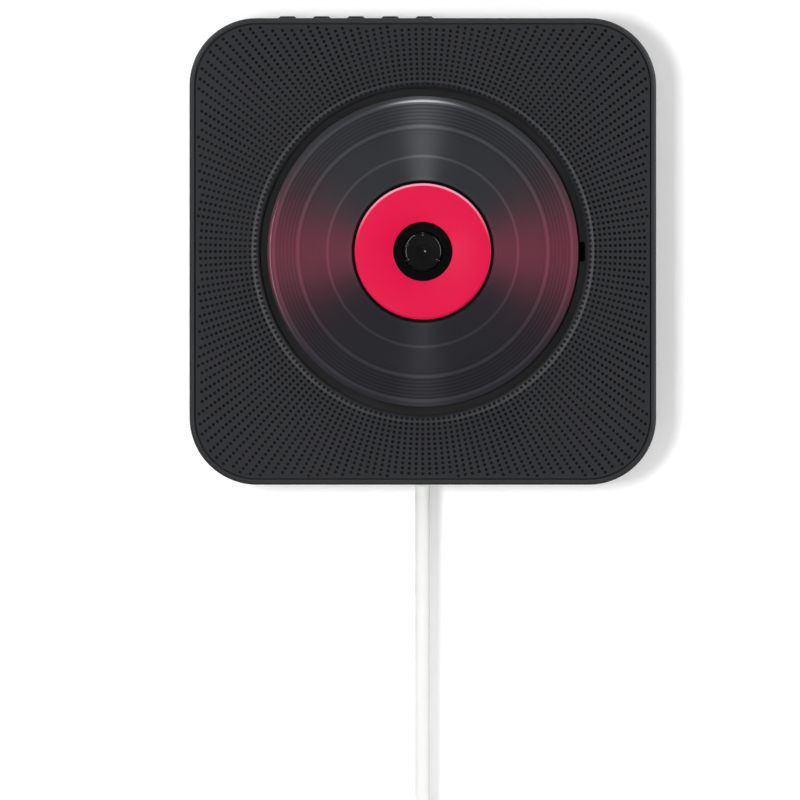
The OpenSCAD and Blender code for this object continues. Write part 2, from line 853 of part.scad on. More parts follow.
module pull_guide() {
    high = slider_top + 3;
    outline_w = 2 * (guide_half + guide_t);
    color(dark) on_wall() difference() {
        translate([-outline_w / 2, guide_low, cover_floor])
            cube([outline_w, high - guide_low, cord_h + 6 - cover_floor]);
        translate([-guide_half, spring_seat, cover_floor + 2])
            cube([2 * guide_half, high - spring_seat + 1, cord_h + 6]);
        cord_hole(bush_r, guide_low - 1, spring_seat + 1);
    }
}

module pull_slider() {
    color(dark) on_wall() difference() {
        upright(slider_low, slider_top) translate([0, cord_h])
            square([2 * guide_half - 2 * clear, 12], center = true);
        cord_hole(cord_r + seat, slider_low - 1, cord_start);
        cord_hole(cord_r - 1.2, slider_low - 1, slider_top + 1);
    }
}

function helix(radius, low, high, turns, steps) =
    [for (i = [0:turns * steps]) let (a = 360 * i / steps)
        [radius * cos(a), cord_y + radius * sin(a), low + (high - low) * i / (turns * steps)]];

module pull_spring() {
    low = spring_seat + spring_wire / 2 + seat;
    high = slider_low - spring_wire / 2 - seat;
    path = helix(spring_r, low, high, spring_turns, 12);
    color(steel) tube(path, spring_wire / 2, 6, [0, 0, 1], heading(path, 0),
        heading(path, len(path) - 1));
}

module pull_switch() {
    x = guide_half + guide_t;
    color(dark) on_wall() {
        between(cover_floor, cord_h + 4) translate([x, slider_top - 4]) square([9, 12]);
        between(cord_h - 2, cord_h + 2) translate([2, slider_top + 4])
            square([x - 1, 1.2]);
    }
}

// Speakers, one in each lower corner
module speaker_frames() {
    r = speaker_d / 2;
    back = baffle_back - speaker_depth + 9;
    color(dark) on_wall() speaker_places() difference() {
        rotate_extrude() polygon([[r - 4, baffle_back], [r, baffle_back],
            [r, baffle_back - 1.4], [r - 3, baffle_back - 1.4], [r * 0.62, back],
            [6, back], [6, back + 1.2], [r * 0.62 - 1, back + 1.2], [r - 4, baffle_back - 2]]);
        for (turn = [0:90:270]) rotate(turn + 45)
            translate([r * 0.45, -4, back + 1.6]) cube([r * 0.5, 8, 4]);
    }
}

module speaker_surrounds() {
    r = speaker_d / 2 - 4;
    color(dark) on_wall() speaker_places() rotate_extrude() {
        translate([r - 2.2, baffle_back - 1.6]) difference() {
            circle(1.6);
            circle(1);
            translate([-2, -2]) square([4, 2]);
        }
    }
}

module speaker_cones() {
    r = speaker_d / 2 - 7.6;
    rim = baffle_back - 1.7;
    dip = rim - 5;
    color([0.25, 0.25, 0.26]) on_wall() speaker_places() rotate_extrude()
        polygon([[r, rim], [5.5, dip], [5, dip + 0.6], [3, dip + 1.8], [0, dip + 2.3],
            [0, dip + 1.7], [2.8, dip + 1.2], [4.6, dip], [4.6, dip - 3], [5.2, dip - 3],
            [5.2, dip - 0.8], [r + 0.5, rim - 0.4], [r + 0.5, rim]]);
}

module speaker_magnets() {
    back = baffle_back - speaker_depth;
    plate = back + 9;
    color(steel) on_wall() speaker_places() difference() {
        union() {
            rod(back, back + 2, speaker_d * 0.3);
            rod(back + 1, plate - 2, speaker_d * 0.33);
            rod(plate - 2, plate, speaker_d * 0.3);
        }
        difference() {
            rod(back + 2, plate + 1, 5.9);
            rod(back + 1, plate + 2, 4.1);
        }
    }
}

// Turntable, hub and disc
module turntable() {
    color(dark) on_wall() difference() {
        union() {
            rod(turntable_top - turntable_t, turntable_top - mat_t, turntable_d / 2);
            rod(turntable_top - mat_t, turntable_top, mat_hole_r);
            rod(motor_top + 1.5, turntable_top - 1, 3.4);
            rod(turntable_top - 1, turntable_top + 0.1, hub_r);
        }
        rod(motor_top + 1, turntable_top + 1, shaft_r + seat);
    }
}

module turntable_mat() {
    color([0.08, 0.08, 0.08]) on_wall() between(turntable_top - mat_t, turntable_top)
        difference() {
            circle(mat_r);
            circle(mat_hole_r + seat);
        }
}

module hub_cap() {
    edge = 1;
    color(dark) on_wall() difference() {
        rotate_extrude() {
            translate([0, turntable_top + 0.1]) square([hub_r, hub_top - edge - turntable_top - 0.1]);
            square_low = hub_top - edge - 0.01;
            translate([0, square_low]) square([hub_r - edge, hub_top - square_low]);
            translate([hub_r - edge, hub_top - edge]) circle(edge);
        }
        translate([0, 0, hub_top + 7.4]) sphere(8, $fn = 48);
        rod(turntable_top - 1, hub_top - 1.4, shaft_r + seat);
        for (turn = [90:120:330]) rotate(turn) translate([hub_r - ball_r + 0.08, 0, ball_h])
            sphere(ball_r + 0.12, $fn = 32);
    }
}

module hub_balls() {
    color(steel) on_wall() for (turn = [90:120:330]) rotate(turn)
        translate([hub_r - ball_r + 0.08, 0, ball_h]) sphere(ball_r, $fn = 32);
}

module spindle_shaft() {
    color(steel) on_wall() rod(plate_top + 2.3, hub_top - 1.6, shaft_r);
}

// The disc, with its stacking ring and the two bands between tracks
module disc() {
    color([0.2, 0.18, 0.19]) on_wall() difference() {
        rod(disc_back, disc_front, disc_d / 2, $fn = 96);
        rod(disc_back - 1, disc_front + 1, disc_bore / 2);
        for (r = [37.2, 49] * disc_d / 120) between(disc_front - 0.1, disc_front + 1) difference() {
            circle(r + 0.25, $fn = 96);
            circle(r - 0.25, $fn = 96);
        }
    }
}

module disc_label() {
    color(crimson) on_wall() between(disc_front, disc_front + label_t) difference() {
        circle(d = label_d);
        circle(d = label_hole_d);
    }
}

// Pickup: sled on two rods, rack, magnet yoke and the lens in its holder
module sled_outline() {
    difference() {
        translate([lens_first_r - sled_inner, -sled_half])
            square([sled_inner + sled_outer, 2 * sled_half]);
        circle(motor_r + 2);
    }
}

module pickup_sled() {
    color([0.22, 0.22, 0.24]) on_wall() difference() {
        between(sled_bottom, sled_top) sled_outline();
        translate([0, -rod_y, rod_h]) rotate([0, 90, 0])
            cylinder(h = 80, r = rod_d / 2 + running);
        translate([0, rod_y, rod_h]) rotate([0, 90, 0])
            cylinder(h = 80, r = rod_d / 2 + running);
        translate([0, rod_y, rod_h - rod_d / 2 - running])
            cube([80, 10, rod_d + 2 * running]);
        translate([lens_first_r, 0, 0]) rod(lens_bottom - 1, sled_top + 1, lens_r + 0.8);
        translate([lens_first_r - 7, -12, sled_top - 1.5]) cube([12, 4, 3]);
    }
}

// Rack outline: one trapezoid tooth after another along the pitch line, and the bar above them
module sled_rack() {
    pitch = PI * gear_module;
    spare_teeth = 3;
    count = ceil(lens_travel / pitch) + 2 * spare_teeth - 1;
    half = pitch / 4 - backlash / 4;
    slope = tan(20);
    root = rack_line + dedendum;
    tip = rack_line - addendum;
    start = gear_x + (spare_teeth + 0.5 - count) * pitch;
    teeth = [for (i = [0:count - 1]) let (x = start + i * pitch) each [
        [x - half - dedendum * slope, root], [x - half + addendum * slope, tip],
        [x + half - addendum * slope, tip], [x + half + dedendum * slope, root]]];
    color([0.85, 0.85, 0.8]) on_wall() between(wheel_top + 0.8, gear_top - 0.4)
        polygon(concat([[start - pitch / 2, -sled_half], [start - pitch / 2, root]], teeth,
            [[start + (count - 0.5) * pitch, root], [start + (count - 0.5) * pitch, -sled_half]]));
}

module actuator_yoke() {
    color(steel) on_wall() difference() {
        union() {
            translate([lens_first_r - 5, -7, sled_top]) cube([6, 14, 0.6]);
            for (y = [-7, 6]) translate([lens_first_r - 5, y, sled_top]) cube([6, 1, 2.4]);
        }
        translate([lens_first_r, 0, 0]) rod(sled_top - 1, sled_top + 4, lens_r + 0.8);
    }
}

module lens_holder() {
    color([0.3, 0.3, 0.32]) on_wall() translate([lens_first_r, 0, 0]) difference() {
        rod(lens_bottom, lens_tip - 0.4, lens_r);
        rod(lens_bottom - 1, lens_tip - 1.4, 1.6);
        rod(lens_tip - 1.5, lens_tip + 1, 2.4 + seat);
    }
}

module lens() {
    color([0.6, 0.75, 0.9]) on_wall() translate([lens_first_r, 0, 0]) intersection() {
        rod(lens_tip - 1.4, lens_tip, 2.4);
        translate([0, 0, lens_tip - 5]) sphere(5);
    }
}

module drive_gear() {
    color([0.85, 0.85, 0.8]) on_wall() translate([gear_x, gear_y]) difference() {
        union() {
            between(wheel_bottom, wheel_top) rotate(pinion_dir) gear_outline(wheel_r, wheel_teeth);
            between(wheel_top, gear_top) rotate(90) gear_outline(rack_gear_r, rack_gear_teeth);
        }
        rod(wheel_bottom - 1, gear_top + 1, gear_post_r + running);
    }
}

module motor_pinion() {
    color([0.85, 0.8, 0.6]) on_wall() translate([pinion_x, pinion_y]) {
        between(wheel_bottom, wheel_top + 1.2)
            rotate(pinion_dir - 180 + 180 / pinion_teeth) gear_outline(pinion_r, pinion_teeth);
        rod(plate_h - sled_motor_l + 2.4, wheel_top + 2, shaft_r);
    }
}

// The lead, its coil in two layers, the tie and the plug
module power_cord() {
    route = concat(cord_route, coil_run_in());
    color(white) tube(route, cord_r, 12, [0, 1, 0], [0, 0, -1], coil_heading(0));
}

// Radius of the coil's centre line at a turn: in at a steady rate, round, and out again
coil_middle = (coil_turns - 0.125) / 2;
function turned(u) = abs(u) < 0.25 ? 2 * u * u + 0.125 : abs(u);
function ease(u) = let (v = min(max(u, 0), 1)) v * v * (3 - 2 * v);
function coil_point(t) =
    let (r = coil_inner_r + coil_pitch * (turned(t - coil_middle) + 3 - coil_middle),
        a = coil_entry - 360 * t)
    [r * cos(a), cord_y - coil_layer / 2 + coil_layer * ease((t - coil_middle + 0.25) * 2),
        coil_z + r * sin(a)];
function coil_heading(t) = unit(coil_point(t + 0.002) - coil_point(t - 0.002));

// The last stretch before the coil runs straight into its first turn
function coil_run_in() = [for (s = [26, 20, 12, 6, 0]) coil_point(0) - s * coil_heading(0)];

coil_end = coil_point(coil_turns);
coil_path = concat([for (i = [0:round(coil_turns * ring_turn)])
    coil_point(min(i / ring_turn, coil_turns))],
    [coil_end - [0, 0, cord_d]]);

module cord_coil() {
    color(white) tube(coil_path, cord_r, 6, [0, 1, 0], coil_heading(0), [0, 0, -1]);
}

// Least distance between centre lines of turns that lie beside each other
coil_gap = min([for (i = [0:len(coil_path) - 1], j = [i + 12:len(coil_path) - 1])
    if (j < len(coil_path)) norm(coil_path[i] - coil_path[j])]) - cord_d;
cord_length = path_length(concat(cord_route, coil_run_in())) + path_length(coil_path);
function path_length(path) = total([for (i = [1:len(path) - 1]) norm(path[i] - path[i - 1])]);
function total(list, i = 0) = i == len(list) ? 0 : list[i] + total(list, i + 1);
echo(coil_gap = coil_gap, cord_length = cord_length);

// The tie lies over the coil's top
module cord_tie() {
    low = coil_z + coil_inner_r - cord_r - clear;
    high = coil_z + coil_outer_r + cord_r + clear;
    half = coil_layer / 2 + cord_r + clear;
    color(dark) translate([-tie_w / 2, cord_y, (low + high) / 2]) rotate([90, 0, 90])
        linear_extrude(tie_w) difference() {
            rounded_box(2 * half + 2 * tie_t, high - low + 2 * tie_t, 2);
            rounded_box(2 * half, high - low, 1.2);
        }
}

// Hangs its children on the end of the lead, that far below it
module below_coil(drop) {
    translate(coil_end - [0, 0, cord_d + drop]) children();
}

// Tapered sleeve with five ribs
module plug_sleeve() {
    foot_r = cord_r + 2.7;
    color(white) below_coil(plug_sleeve_l) {
        cylinder(h = plug_sleeve_l, r1 = foot_r, r2 = cord_r + 0.6);
        for (i = [0:4]) translate([0, 0, 4 * i + 2])
            cylinder(h = 2, r = foot_r + 0.3 - 0.4 * i);
    }
}

// The plug's grip narrows towards the sleeve: a front outline crossed with the rounded section
module plug_body() {
    shoulder = plug_l * 0.35;
    neck = 15;
    half = plug_w / 2;
    color(white) below_coil(plug_sleeve_l + plug_l) intersection() {
        linear_extrude(plug_l) rounded_box(plug_w, plug_t, 5);
        translate([0, plug_t / 2 + 1, 0]) rotate([90, 0, 0]) linear_extrude(plug_t + 2)
            polygon([[-half, 0], [half, 0], [half, plug_l * 0.4],
                [neck / 2 + 1.5, plug_l - shoulder / 2], [neck / 2, plug_l],
                [-neck / 2, plug_l], [-neck / 2 - 1.5, plug_l - shoulder / 2],
                [-half, plug_l * 0.4]]);
    }
}

module plug_pins() {
    tip = 1.5;
    color(steel) below_coil(plug_sleeve_l + plug_l + plug_pin_l) for (x = [-1, 1])
        translate([x * plug_pin_spacing / 2, 0, 0]) {
            translate([0, 0, tip]) cylinder(h = plug_pin_l - tip, d = plug_pin_d);
            cylinder(h = tip, d1 = plug_pin_d - 1.4, d2 = plug_pin_d);
        }
}

wall_bracket();
front_shell();
well_ring();
grille_skin();
rear_cover();
wall_pads();
cover_screws();
disc_deck();
deck_screws();
chassis();
chassis_dampers();
damper_screws();
guide_rods();
spindle_motor();
sled_motor();
main_board();
main_board_parts();
power_board();
power_board_parts();
board_screws();
button_board();
button_switches();
cord_bush();
pull_switch();
pull_guide();
speaker_frames();
speaker_cones();
speaker_surrounds();
speaker_magnets();
turntable();
turntable_mat();
hub_cap();
hub_balls();
spindle_shaft();
disc();
disc_label();
pickup_sled();
sled_rack();
actuator_yoke();
lens_holder();
lens();
drive_gear();
motor_pinion();
button(0);  // button_1
button(1);  // button_2
button(2);  // button_3
button(3);  // button_4
button(4);  // button_5
pull_slider();
pull_spring();
power_cord();
cord_coil();
cord_tie();
plug_sleeve();
plug_body();
plug_pins();
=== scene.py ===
"""Dresses a wall mounted disc player: front panel, disc, power lead, return spring and all finishes.

Lengths are in metres, in the part's frame: X to the right, Z up, +Y into the wall. Pieces of the
front are worked out as they would lie on a table: x, y, and the height over the wall."""
import json
import math

import bpy
import numpy as np
from bpy.props import FloatProperty, FloatVectorProperty, IntProperty, PointerProperty
from bpy.types import Operator, Panel, PropertyGroup
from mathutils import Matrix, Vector
from mathutils.geometry import delaunay_2d_cdt


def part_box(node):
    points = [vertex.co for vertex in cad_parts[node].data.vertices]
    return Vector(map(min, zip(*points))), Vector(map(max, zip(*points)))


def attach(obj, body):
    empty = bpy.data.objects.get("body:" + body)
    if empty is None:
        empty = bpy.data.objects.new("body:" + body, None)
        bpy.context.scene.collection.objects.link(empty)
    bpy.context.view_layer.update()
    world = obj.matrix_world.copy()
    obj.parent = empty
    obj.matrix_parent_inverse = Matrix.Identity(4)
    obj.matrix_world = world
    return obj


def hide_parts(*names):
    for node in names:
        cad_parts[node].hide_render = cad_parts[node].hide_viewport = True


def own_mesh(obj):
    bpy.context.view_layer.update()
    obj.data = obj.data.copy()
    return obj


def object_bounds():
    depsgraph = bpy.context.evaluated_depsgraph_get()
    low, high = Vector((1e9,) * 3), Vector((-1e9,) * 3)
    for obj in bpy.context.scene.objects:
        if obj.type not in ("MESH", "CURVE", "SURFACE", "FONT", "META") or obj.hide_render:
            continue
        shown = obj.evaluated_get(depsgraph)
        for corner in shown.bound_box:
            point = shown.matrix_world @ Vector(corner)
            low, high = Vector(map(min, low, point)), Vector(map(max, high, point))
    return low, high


bl_info = {
    "name": "Wall mounted disc player",
    "version": (1, 0, 0),
    "blender": (4, 5, 0),
    "location": "3D View > Sidebar > Disc player",
    "description": "Front panel, disc, lead and finishes of a wall mounted disc player",
    "category": "Object",
}

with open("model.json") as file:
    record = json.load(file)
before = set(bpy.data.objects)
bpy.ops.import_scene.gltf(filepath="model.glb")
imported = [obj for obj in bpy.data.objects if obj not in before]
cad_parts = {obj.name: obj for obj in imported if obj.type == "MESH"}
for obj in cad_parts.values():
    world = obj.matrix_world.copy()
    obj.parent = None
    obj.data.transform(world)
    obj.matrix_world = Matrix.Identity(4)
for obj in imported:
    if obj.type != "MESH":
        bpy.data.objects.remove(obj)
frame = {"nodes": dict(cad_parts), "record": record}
cad_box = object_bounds()
NODES = frame["nodes"]

MM = 0.001
TURN = 2 * math.pi


def front_of(node):
    """Height of a node's front over the wall."""
    return -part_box(node)[0].y


def back_of(node):
    """Height of a node's back over the wall."""
    return -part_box(node)[1].y


def srgb(red, green, blue):
    """Linear colour of a screen colour given from 0 to 255."""
    return tuple(((c / 255 + 0.055) / 1.055) ** 2.4 if c > 10 else c / 255 / 12.92
                 for c in (red, green, blue))


def length(name, description, default):
    return FloatProperty(name=name, description=description, default=default, min=0, precision=5,
                         unit="LENGTH")


def share(name, description, default):
    return FloatProperty(name=name, description=description, default=default, min=0, max=1,
                         subtype="FACTOR")


def colour(name, description, default):
    return FloatVectorProperty(name=name, description=description, default=default, size=3,
                               min=0, max=1, subtype="COLOR")


# ------------------------------------------------------------------------------ sizes and colours

class PLAYER_PG_panel(PropertyGroup):
    """Perforated front panel."""

    columns: IntProperty(name="Spokes", description="Holes on each circle", default=200, min=60)
    row_pitch: length("Circle pitch", "Distance between circles of holes", 1.905 * MM)
    hole_d: length("Hole", "Diameter of a hole", 1.3 * MM)
    hole_depth: length("Depth", "Depth of a hole", 0.9 * MM)
    hole_margin: length("Margin", "Least distance of a hole's centre from the edge", 0.9 * MM)
    corner_r: length("Corner", "Radius of the panel's corners", 23.8 * MM)
    well_r: length("Well", "Radius of the round well", 63 * MM)
    skin_t: length("Thickness", "Thickness of the panel", 1.2 * MM)
    edge_t: length("Edge", "Width of the broken outer edge", 0.25 * MM)
    # Where the painted highlight on the lip's crest lies
    crest_highlight_w: length("Crest", "Distance of the lip's paler crest from the well", 2.5 * MM)


class PLAYER_PG_disc(PropertyGroup):
    """Disc with a record's grooves, and its label."""

    groove_pitch: length("Groove pitch", "Distance between grooves", 0.5 * MM)
    groove_depth: length("Groove depth", "Depth of a groove", 0.012 * MM)
    line_pitch: length("Line pitch", "Distance between the darker lines near the edge", 1.38 * MM)
    groove_first_r: length("First groove", "Radius of the innermost groove", 27.8 * MM)
    groove_last_r: length("Last groove", "Radius of the outermost groove", 57.3 * MM)
    inner_band_r: length("Inner band", "Radius of the inner plain band", 36.8 * MM)
    outer_band_r: length("Outer band", "Radius of the outer plain band", 48.3 * MM)
    band_half_w: length("Band", "Half of a plain band's width", 0.75 * MM)
    bore_r: length("Bore", "Radius of the centre hole", 7.5 * MM)
    label_hole_r: length("Label hole", "Inner radius of the label", 11.4 * MM)
    label_t: length("Label", "Thickness of the label", 0.32 * MM)
    label_rim_w: length("Label rim", "Width of the label's rounded rim", 0.9 * MM)
    label_inset: length("Label inset", "Distance of the label's rim inside its CAD node's", 0.2 * MM)
    ditch_w: length("Ditch", "Width of the black ditch round the label", 1.0 * MM)


class PLAYER_PG_lead(PropertyGroup):
    """Power lead with its coil and plug."""

    cord_d: length("Lead", "Diameter of the lead", 5.8 * MM)
    coil_inner_r: length("Inner turn", "Radius of the coil's innermost turn", 24.4 * MM)
    coil_pitch: length("Turn pitch", "Distance between turns, also between layers", 6.4 * MM)
    coil_turns: FloatProperty(name="Turns", description="Turns of the coil", default=6.125)
    coil_z: length("Coil", "Depth of the coil's centre below the axis", 289 * MM)
    tie_w: length("Tie", "Width of the tie", 9 * MM)
    tie_t: length("Tie's thickness", "Thickness of the tie", 1.0 * MM)


class PLAYER_PG_stage(PropertyGroup):
    """Camera and lights."""

    camera_x: FloatProperty(name="Camera X", description="Place of the picture's middle",
                            default=-8.8 * MM, unit="LENGTH")
    camera_z: FloatProperty(name="Camera Z", description="Height of the picture's middle",
                            default=-57.3 * MM, unit="LENGTH")
    camera_far: length("Camera distance", "Distance of the camera from the front", 6.0)
    view_w: length("View", "Width of the view at the front", 308.5 * MM)
    wall_light: share("Shadow", "How much of the wall's white is lamp light", 0.8)
    room_light: share("Room", "Share of the light that comes from all round", 0.5)


class PLAYER_PG_finish(PropertyGroup):
    """Colours of the finishes."""

    housing: colour("Housing", "Moulded black of the housing", srgb(36, 37, 39))
    panel: colour("Panel", "Moulded black of the front panel", srgb(28, 29, 33))
    well: colour("Well", "Black of the well's floor", srgb(14, 14, 15))
    trim: colour("Trim", "Black of buttons and small parts", srgb(16, 16, 17))
    hub: colour("Hub", "Black of the hub", srgb(2, 2, 3))
    rubber: colour("Rubber", "Black of rubber parts", srgb(24, 24, 24))
    # Tones of painted light on the disc: paler above than below, and painted reflection fans at the
    # sides and at top and bottom
    disc_upper_lit: colour("Disc, upper", "Disc's black at the top", srgb(47, 48, 51))
    disc_lower_shaded: colour("Disc, lower", "Disc's black at the bottom", srgb(37, 36, 41))
    disc_side_sheen: colour("Disc, sides", "Disc's print left and right", srgb(99, 50, 63))
    disc_fan_sheen: colour("Disc, fans", "Disc's print at top and bottom", srgb(77, 78, 81))
    label: colour("Label", "Label's crimson", srgb(212, 3, 64))
    # Painted highlight on the top of the label's rounded rim
    label_rim_highlight: colour("Label edge", "Paler crimson of the label's rim", srgb(246, 150, 176))
    lead: colour("Lead", "White of the lead and plug", srgb(232, 233, 229))
    steel: colour("Steel", "Bright steel", srgb(196, 197, 200))
    bracket: colour("Bracket", "Zinc plated bracket", srgb(176, 180, 184))
    board: colour("Board", "Green of the circuit boards", srgb(20, 84, 52))
    winding: colour("Windings", "Yellow tape of the transformer", srgb(190, 150, 50))
    cone: colour("Cones", "Grey of the speaker cones", srgb(62, 62, 63))
    sled: colour("Sled", "Grey of the pickup", srgb(58, 58, 62))
    gear: colour("Gears", "Ivory of the gears", srgb(222, 216, 196))
    lens: colour("Lens", "Coating of the lens", srgb(190, 215, 245))
    wall: colour("Wall", "Backdrop and floor", (0.8, 0.8, 0.8))


# ------------------------------------------------------------------------------------------ meshes

def on_wall(x, y, height):
    """Points of the frame for what lies on the wall at x, y and that height."""
    x, y, height = np.broadcast_arrays(x, y, height)
    return np.stack([x, -height, y], -1).reshape(-1, 3)


def round_points(radius, angle):
    """Flat points at a radius and an angle, as an (n, 2) array."""
    radius, angle = np.broadcast_arrays(radius, angle)
    return np.stack([radius * np.cos(angle), radius * np.sin(angle)], -1)


def grid_faces(rows, columns, close_rows=False, close_columns=True):
    """Quads of a grid of points numbered row by row, wound so that their normal is the column
    direction crossed with the row direction. A closed direction joins its last line to its first."""
    i = np.arange(rows if close_rows else rows - 1)[:, None]
    j = np.arange(columns if close_columns else columns - 1)[None, :]
    below, beside = (i + 1) % rows * columns, (j + 1) % columns
    corners = np.broadcast_arrays(i * columns + j, i * columns + beside, below + beside, below + j)
    return np.stack(corners, -1).reshape(-1, 4)


def make_piece(name, points, *faces, sharp=30.0):
    """Object made of points and of arrays of faces, one array for each number of corners. Edges
    sharper than that many degrees stay sharp."""
    mesh = bpy.data.meshes.new(name)
    corners = np.concatenate([f.ravel() for f in faces]).astype(np.int32)
    counts = np.concatenate([np.full(len(f), f.shape[1]) for f in faces])
    mesh.vertices.add(len(points))
    mesh.vertices.foreach_set("co", np.asarray(points, np.float32).ravel())
    mesh.loops.add(len(corners))
    mesh.loops.foreach_set("vertex_index", corners)
    mesh.polygons.add(len(counts))
    mesh.polygons.foreach_set("loop_start", (np.cumsum(counts) - counts).astype(np.int32))
    mesh.update(calc_edges=True)
    mesh.shade_smooth()
    mesh.set_sharp_from_angle(angle=math.radians(sharp))
    piece = bpy.data.objects.new(name, mesh)
    bpy.context.scene.collection.objects.link(piece)
    return piece


def angles(count):
    """Angles of that many even steps round a circle."""
    return np.arange(count) * TURN / count


def rounded(wave, power):
    """A wave raised to a power with its sign kept. Powers under 1 square a circle off."""
    return np.sign(wave) * np.abs(wave) ** power


def ease(t):
    """Smooth step from 0 to 1 while t does the same: three t squared less two t cubed."""
    t = np.clip(t, 0, 1)
    return t ** 2 * (3 - 2 * t)


def lathe(profile, segments):
    """A closed profile of (radius, height) turned round the disc's axis. The profile runs inwards
    over the front, so that faces point outwards."""
    profile = np.asarray(profile)
    flat = round_points(profile[:, 0, None], angles(segments))
    points = on_wall(flat[..., 0], flat[..., 1], profile[:, 1, None])
    return points, grid_faces(len(profile), segments, close_rows=True)


def loft(path, across, deep, sides, power=2.0, side=(0, 1, 0)):
    """A section carried along a path, square to it. The section is a superellipse: its half sizes
    across and deep may change along the path, and a power of 2 makes it round. Flat ends close it."""
    path = np.asarray(path, float)
    along = np.gradient(path, axis=0)
    along /= np.linalg.norm(along, axis=1, keepdims=True)
    u = np.cross(along, side)
    u /= np.linalg.norm(u, axis=1, keepdims=True)
    v = np.cross(along, u)
    c, s = (rounded(wave(angles(sides)), 2 / power)[:, None] for wave in (np.cos, np.sin))
    across, deep = (np.broadcast_to(size, len(path))[:, None, None] for size in (across, deep))
    points = path[:, None] + across * c * u[:, None] + deep * s * v[:, None]
    first = np.arange(sides)[None, ::-1]
    last = (len(path) - 1) * sides + np.arange(sides)[None]
    return points.reshape(-1, 3), grid_faces(len(path), sides), first, last


def smooth_line(points, steps):
    """Catmull-Rom curve through the points, with that many steps from one to the next."""
    p = np.vstack([2 * points[0] - points[1], points, 2 * points[-1] - points[-2]])
    a, b, c, d = (p[i:len(p) - 3 + i, None] for i in range(4))
    t = (np.arange(steps) / steps)[:, None]
    curve = b + 0.5 * t * (c - a + t * (2 * a - 5 * b + 4 * c - d + t * (3 * (b - c) + d - a)))
    return np.vstack([curve.reshape(-1, 3), points[-1]])


def quarter(centre, radii, low, high, steps):
    """Points of an elliptic arc between two angles in degrees."""
    a = np.radians(np.linspace(low, high, steps))
    return np.stack([centre[0] + radii[0] * np.cos(a), centre[1] + radii[1] * np.sin(a)], -1)


def finish_piece(piece, body, slot, *replaced):
    """Gives a piece its material and body, and lets it stand for the CAD nodes it replaces."""
    piece.data.materials.append(finish(slot))
    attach(piece, body)
    if replaced:
        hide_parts(*replaced)


# ------------------------------------------------------------------------------------- front panel

HOLE_SIDES = 12
# Circles of points that carry the lip's curve, as shares of its width
LIP_CIRCLES = np.array([0.36, 0.5, 0.66, 0.74, 0.83, 0.92, 1.0])
# Angle in degrees up the lip's inner side at which the front's points take over from the rear's rows
LIP_MEETS = 40.0


def outline_reach(angle, half, corner):
    """Distance from the middle to the outline of a square with round corners: to its flat side, or
    where the ray passes the corner's centre both ways, to the corner's circle."""
    c, s = np.abs(np.cos(angle)), np.abs(np.sin(angle))
    flat = half / np.maximum(c, s)
    centre = half - corner
    along = centre * (c + s)
    round_part = along + np.sqrt(np.maximum(along ** 2 - 2 * centre ** 2 + corner ** 2, 0))
    return np.where(flat * np.minimum(c, s) > centre, round_part, flat)


def inside_outline(points, half, corner):
    """True for each flat point that lies within the square with round corners."""
    distance = np.abs(points)
    beyond = np.maximum(distance - (half - corner), 0)
    in_corner = distance.min(-1) > half - corner
    return np.where(in_corner, np.hypot(*beyond.T) < corner, distance.max(-1) < half)


def panel_holes(p, half, first_r):
    """Centres of the holes: on spokes at even angles and on circles at an even pitch, as far as the
    margin from the outline."""
    rows = np.arange(math.ceil(first_r / p.row_pitch), half * 1.5 // p.row_pitch) * p.row_pitch
    centres = round_points(rows[:, None], angles(p.columns)).reshape(-1, 2)
    return centres[inside_outline(centres, half - p.hole_margin, p.corner_r - p.hole_margin)]


def triangles_between(flat, edges, circle, holes):
    """Triangles of flat points that keep the edges given. Those inside the circle or a hole, with
    all three corners on one rim, are left out, and so are those without an area."""
    found = delaunay_2d_cdt([Vector(v) for v in flat / MM], edges.tolist(), [], 0, 1e-6, False)
    triangles = np.array(found[2])
    rim_of = np.full(len(flat), -1)
    rim_of[circle] = len(holes)
    rim_of[holes] = np.arange(len(holes))[:, None]
    rims = rim_of[triangles]
    inside = (rims[:, 0] >= 0) & (rims == rims[:, :1]).all(1)
    a, b, c = (flat[triangles[:, i]] for i in range(3))
    twice_area = (b - a)[:, 0] * (c - a)[:, 1] - (b - a)[:, 1] * (c - a)[:, 0]
    return triangles[~inside & (twice_area > 1e-14)]


def panel_front(p, half, front, lip):
    """Front of the panel as triangles between a circle on the lip, the holes' rims and the outline.
    Height is even, but for a quarter circle down to the well over the lip. Returns the points with
    the circle first and the outline second, their heights, the triangles, and the holes' rims."""
    start = p.well_r + lip - lip * math.cos(math.radians(LIP_MEETS))
    ring = angles(2 * p.columns)
    between = (np.arange(p.columns) + 0.5) * TURN / p.columns
    centres = panel_holes(p, half, start + p.hole_d / 2)
    rim = round_points(p.hole_d / 2, angles(HOLE_SIDES))
    flat = np.concatenate([
        round_points(start, ring),
        round_points(outline_reach(ring, half, p.corner_r), ring),
        (centres[:, None] + rim).reshape(-1, 2),
        round_points((p.well_r + lip * LIP_CIRCLES)[:, None], between).reshape(-1, 2),
    ])
    loops = np.arange(2 * len(ring)).reshape(2, -1)
    holes = loops.size + np.arange(HOLE_SIDES * len(centres)).reshape(-1, HOLE_SIDES)
    edges = np.concatenate([np.stack([rims, np.roll(rims, -1, 1)], -1).reshape(-1, 2)
                            for rims in (loops, holes)])
    drop = np.clip(p.well_r + lip - np.hypot(*flat.T), 0, lip)
    height = front - lip + np.sqrt(lip ** 2 - drop ** 2)
    return flat, height, triangles_between(flat, edges, loops[0], holes), holes


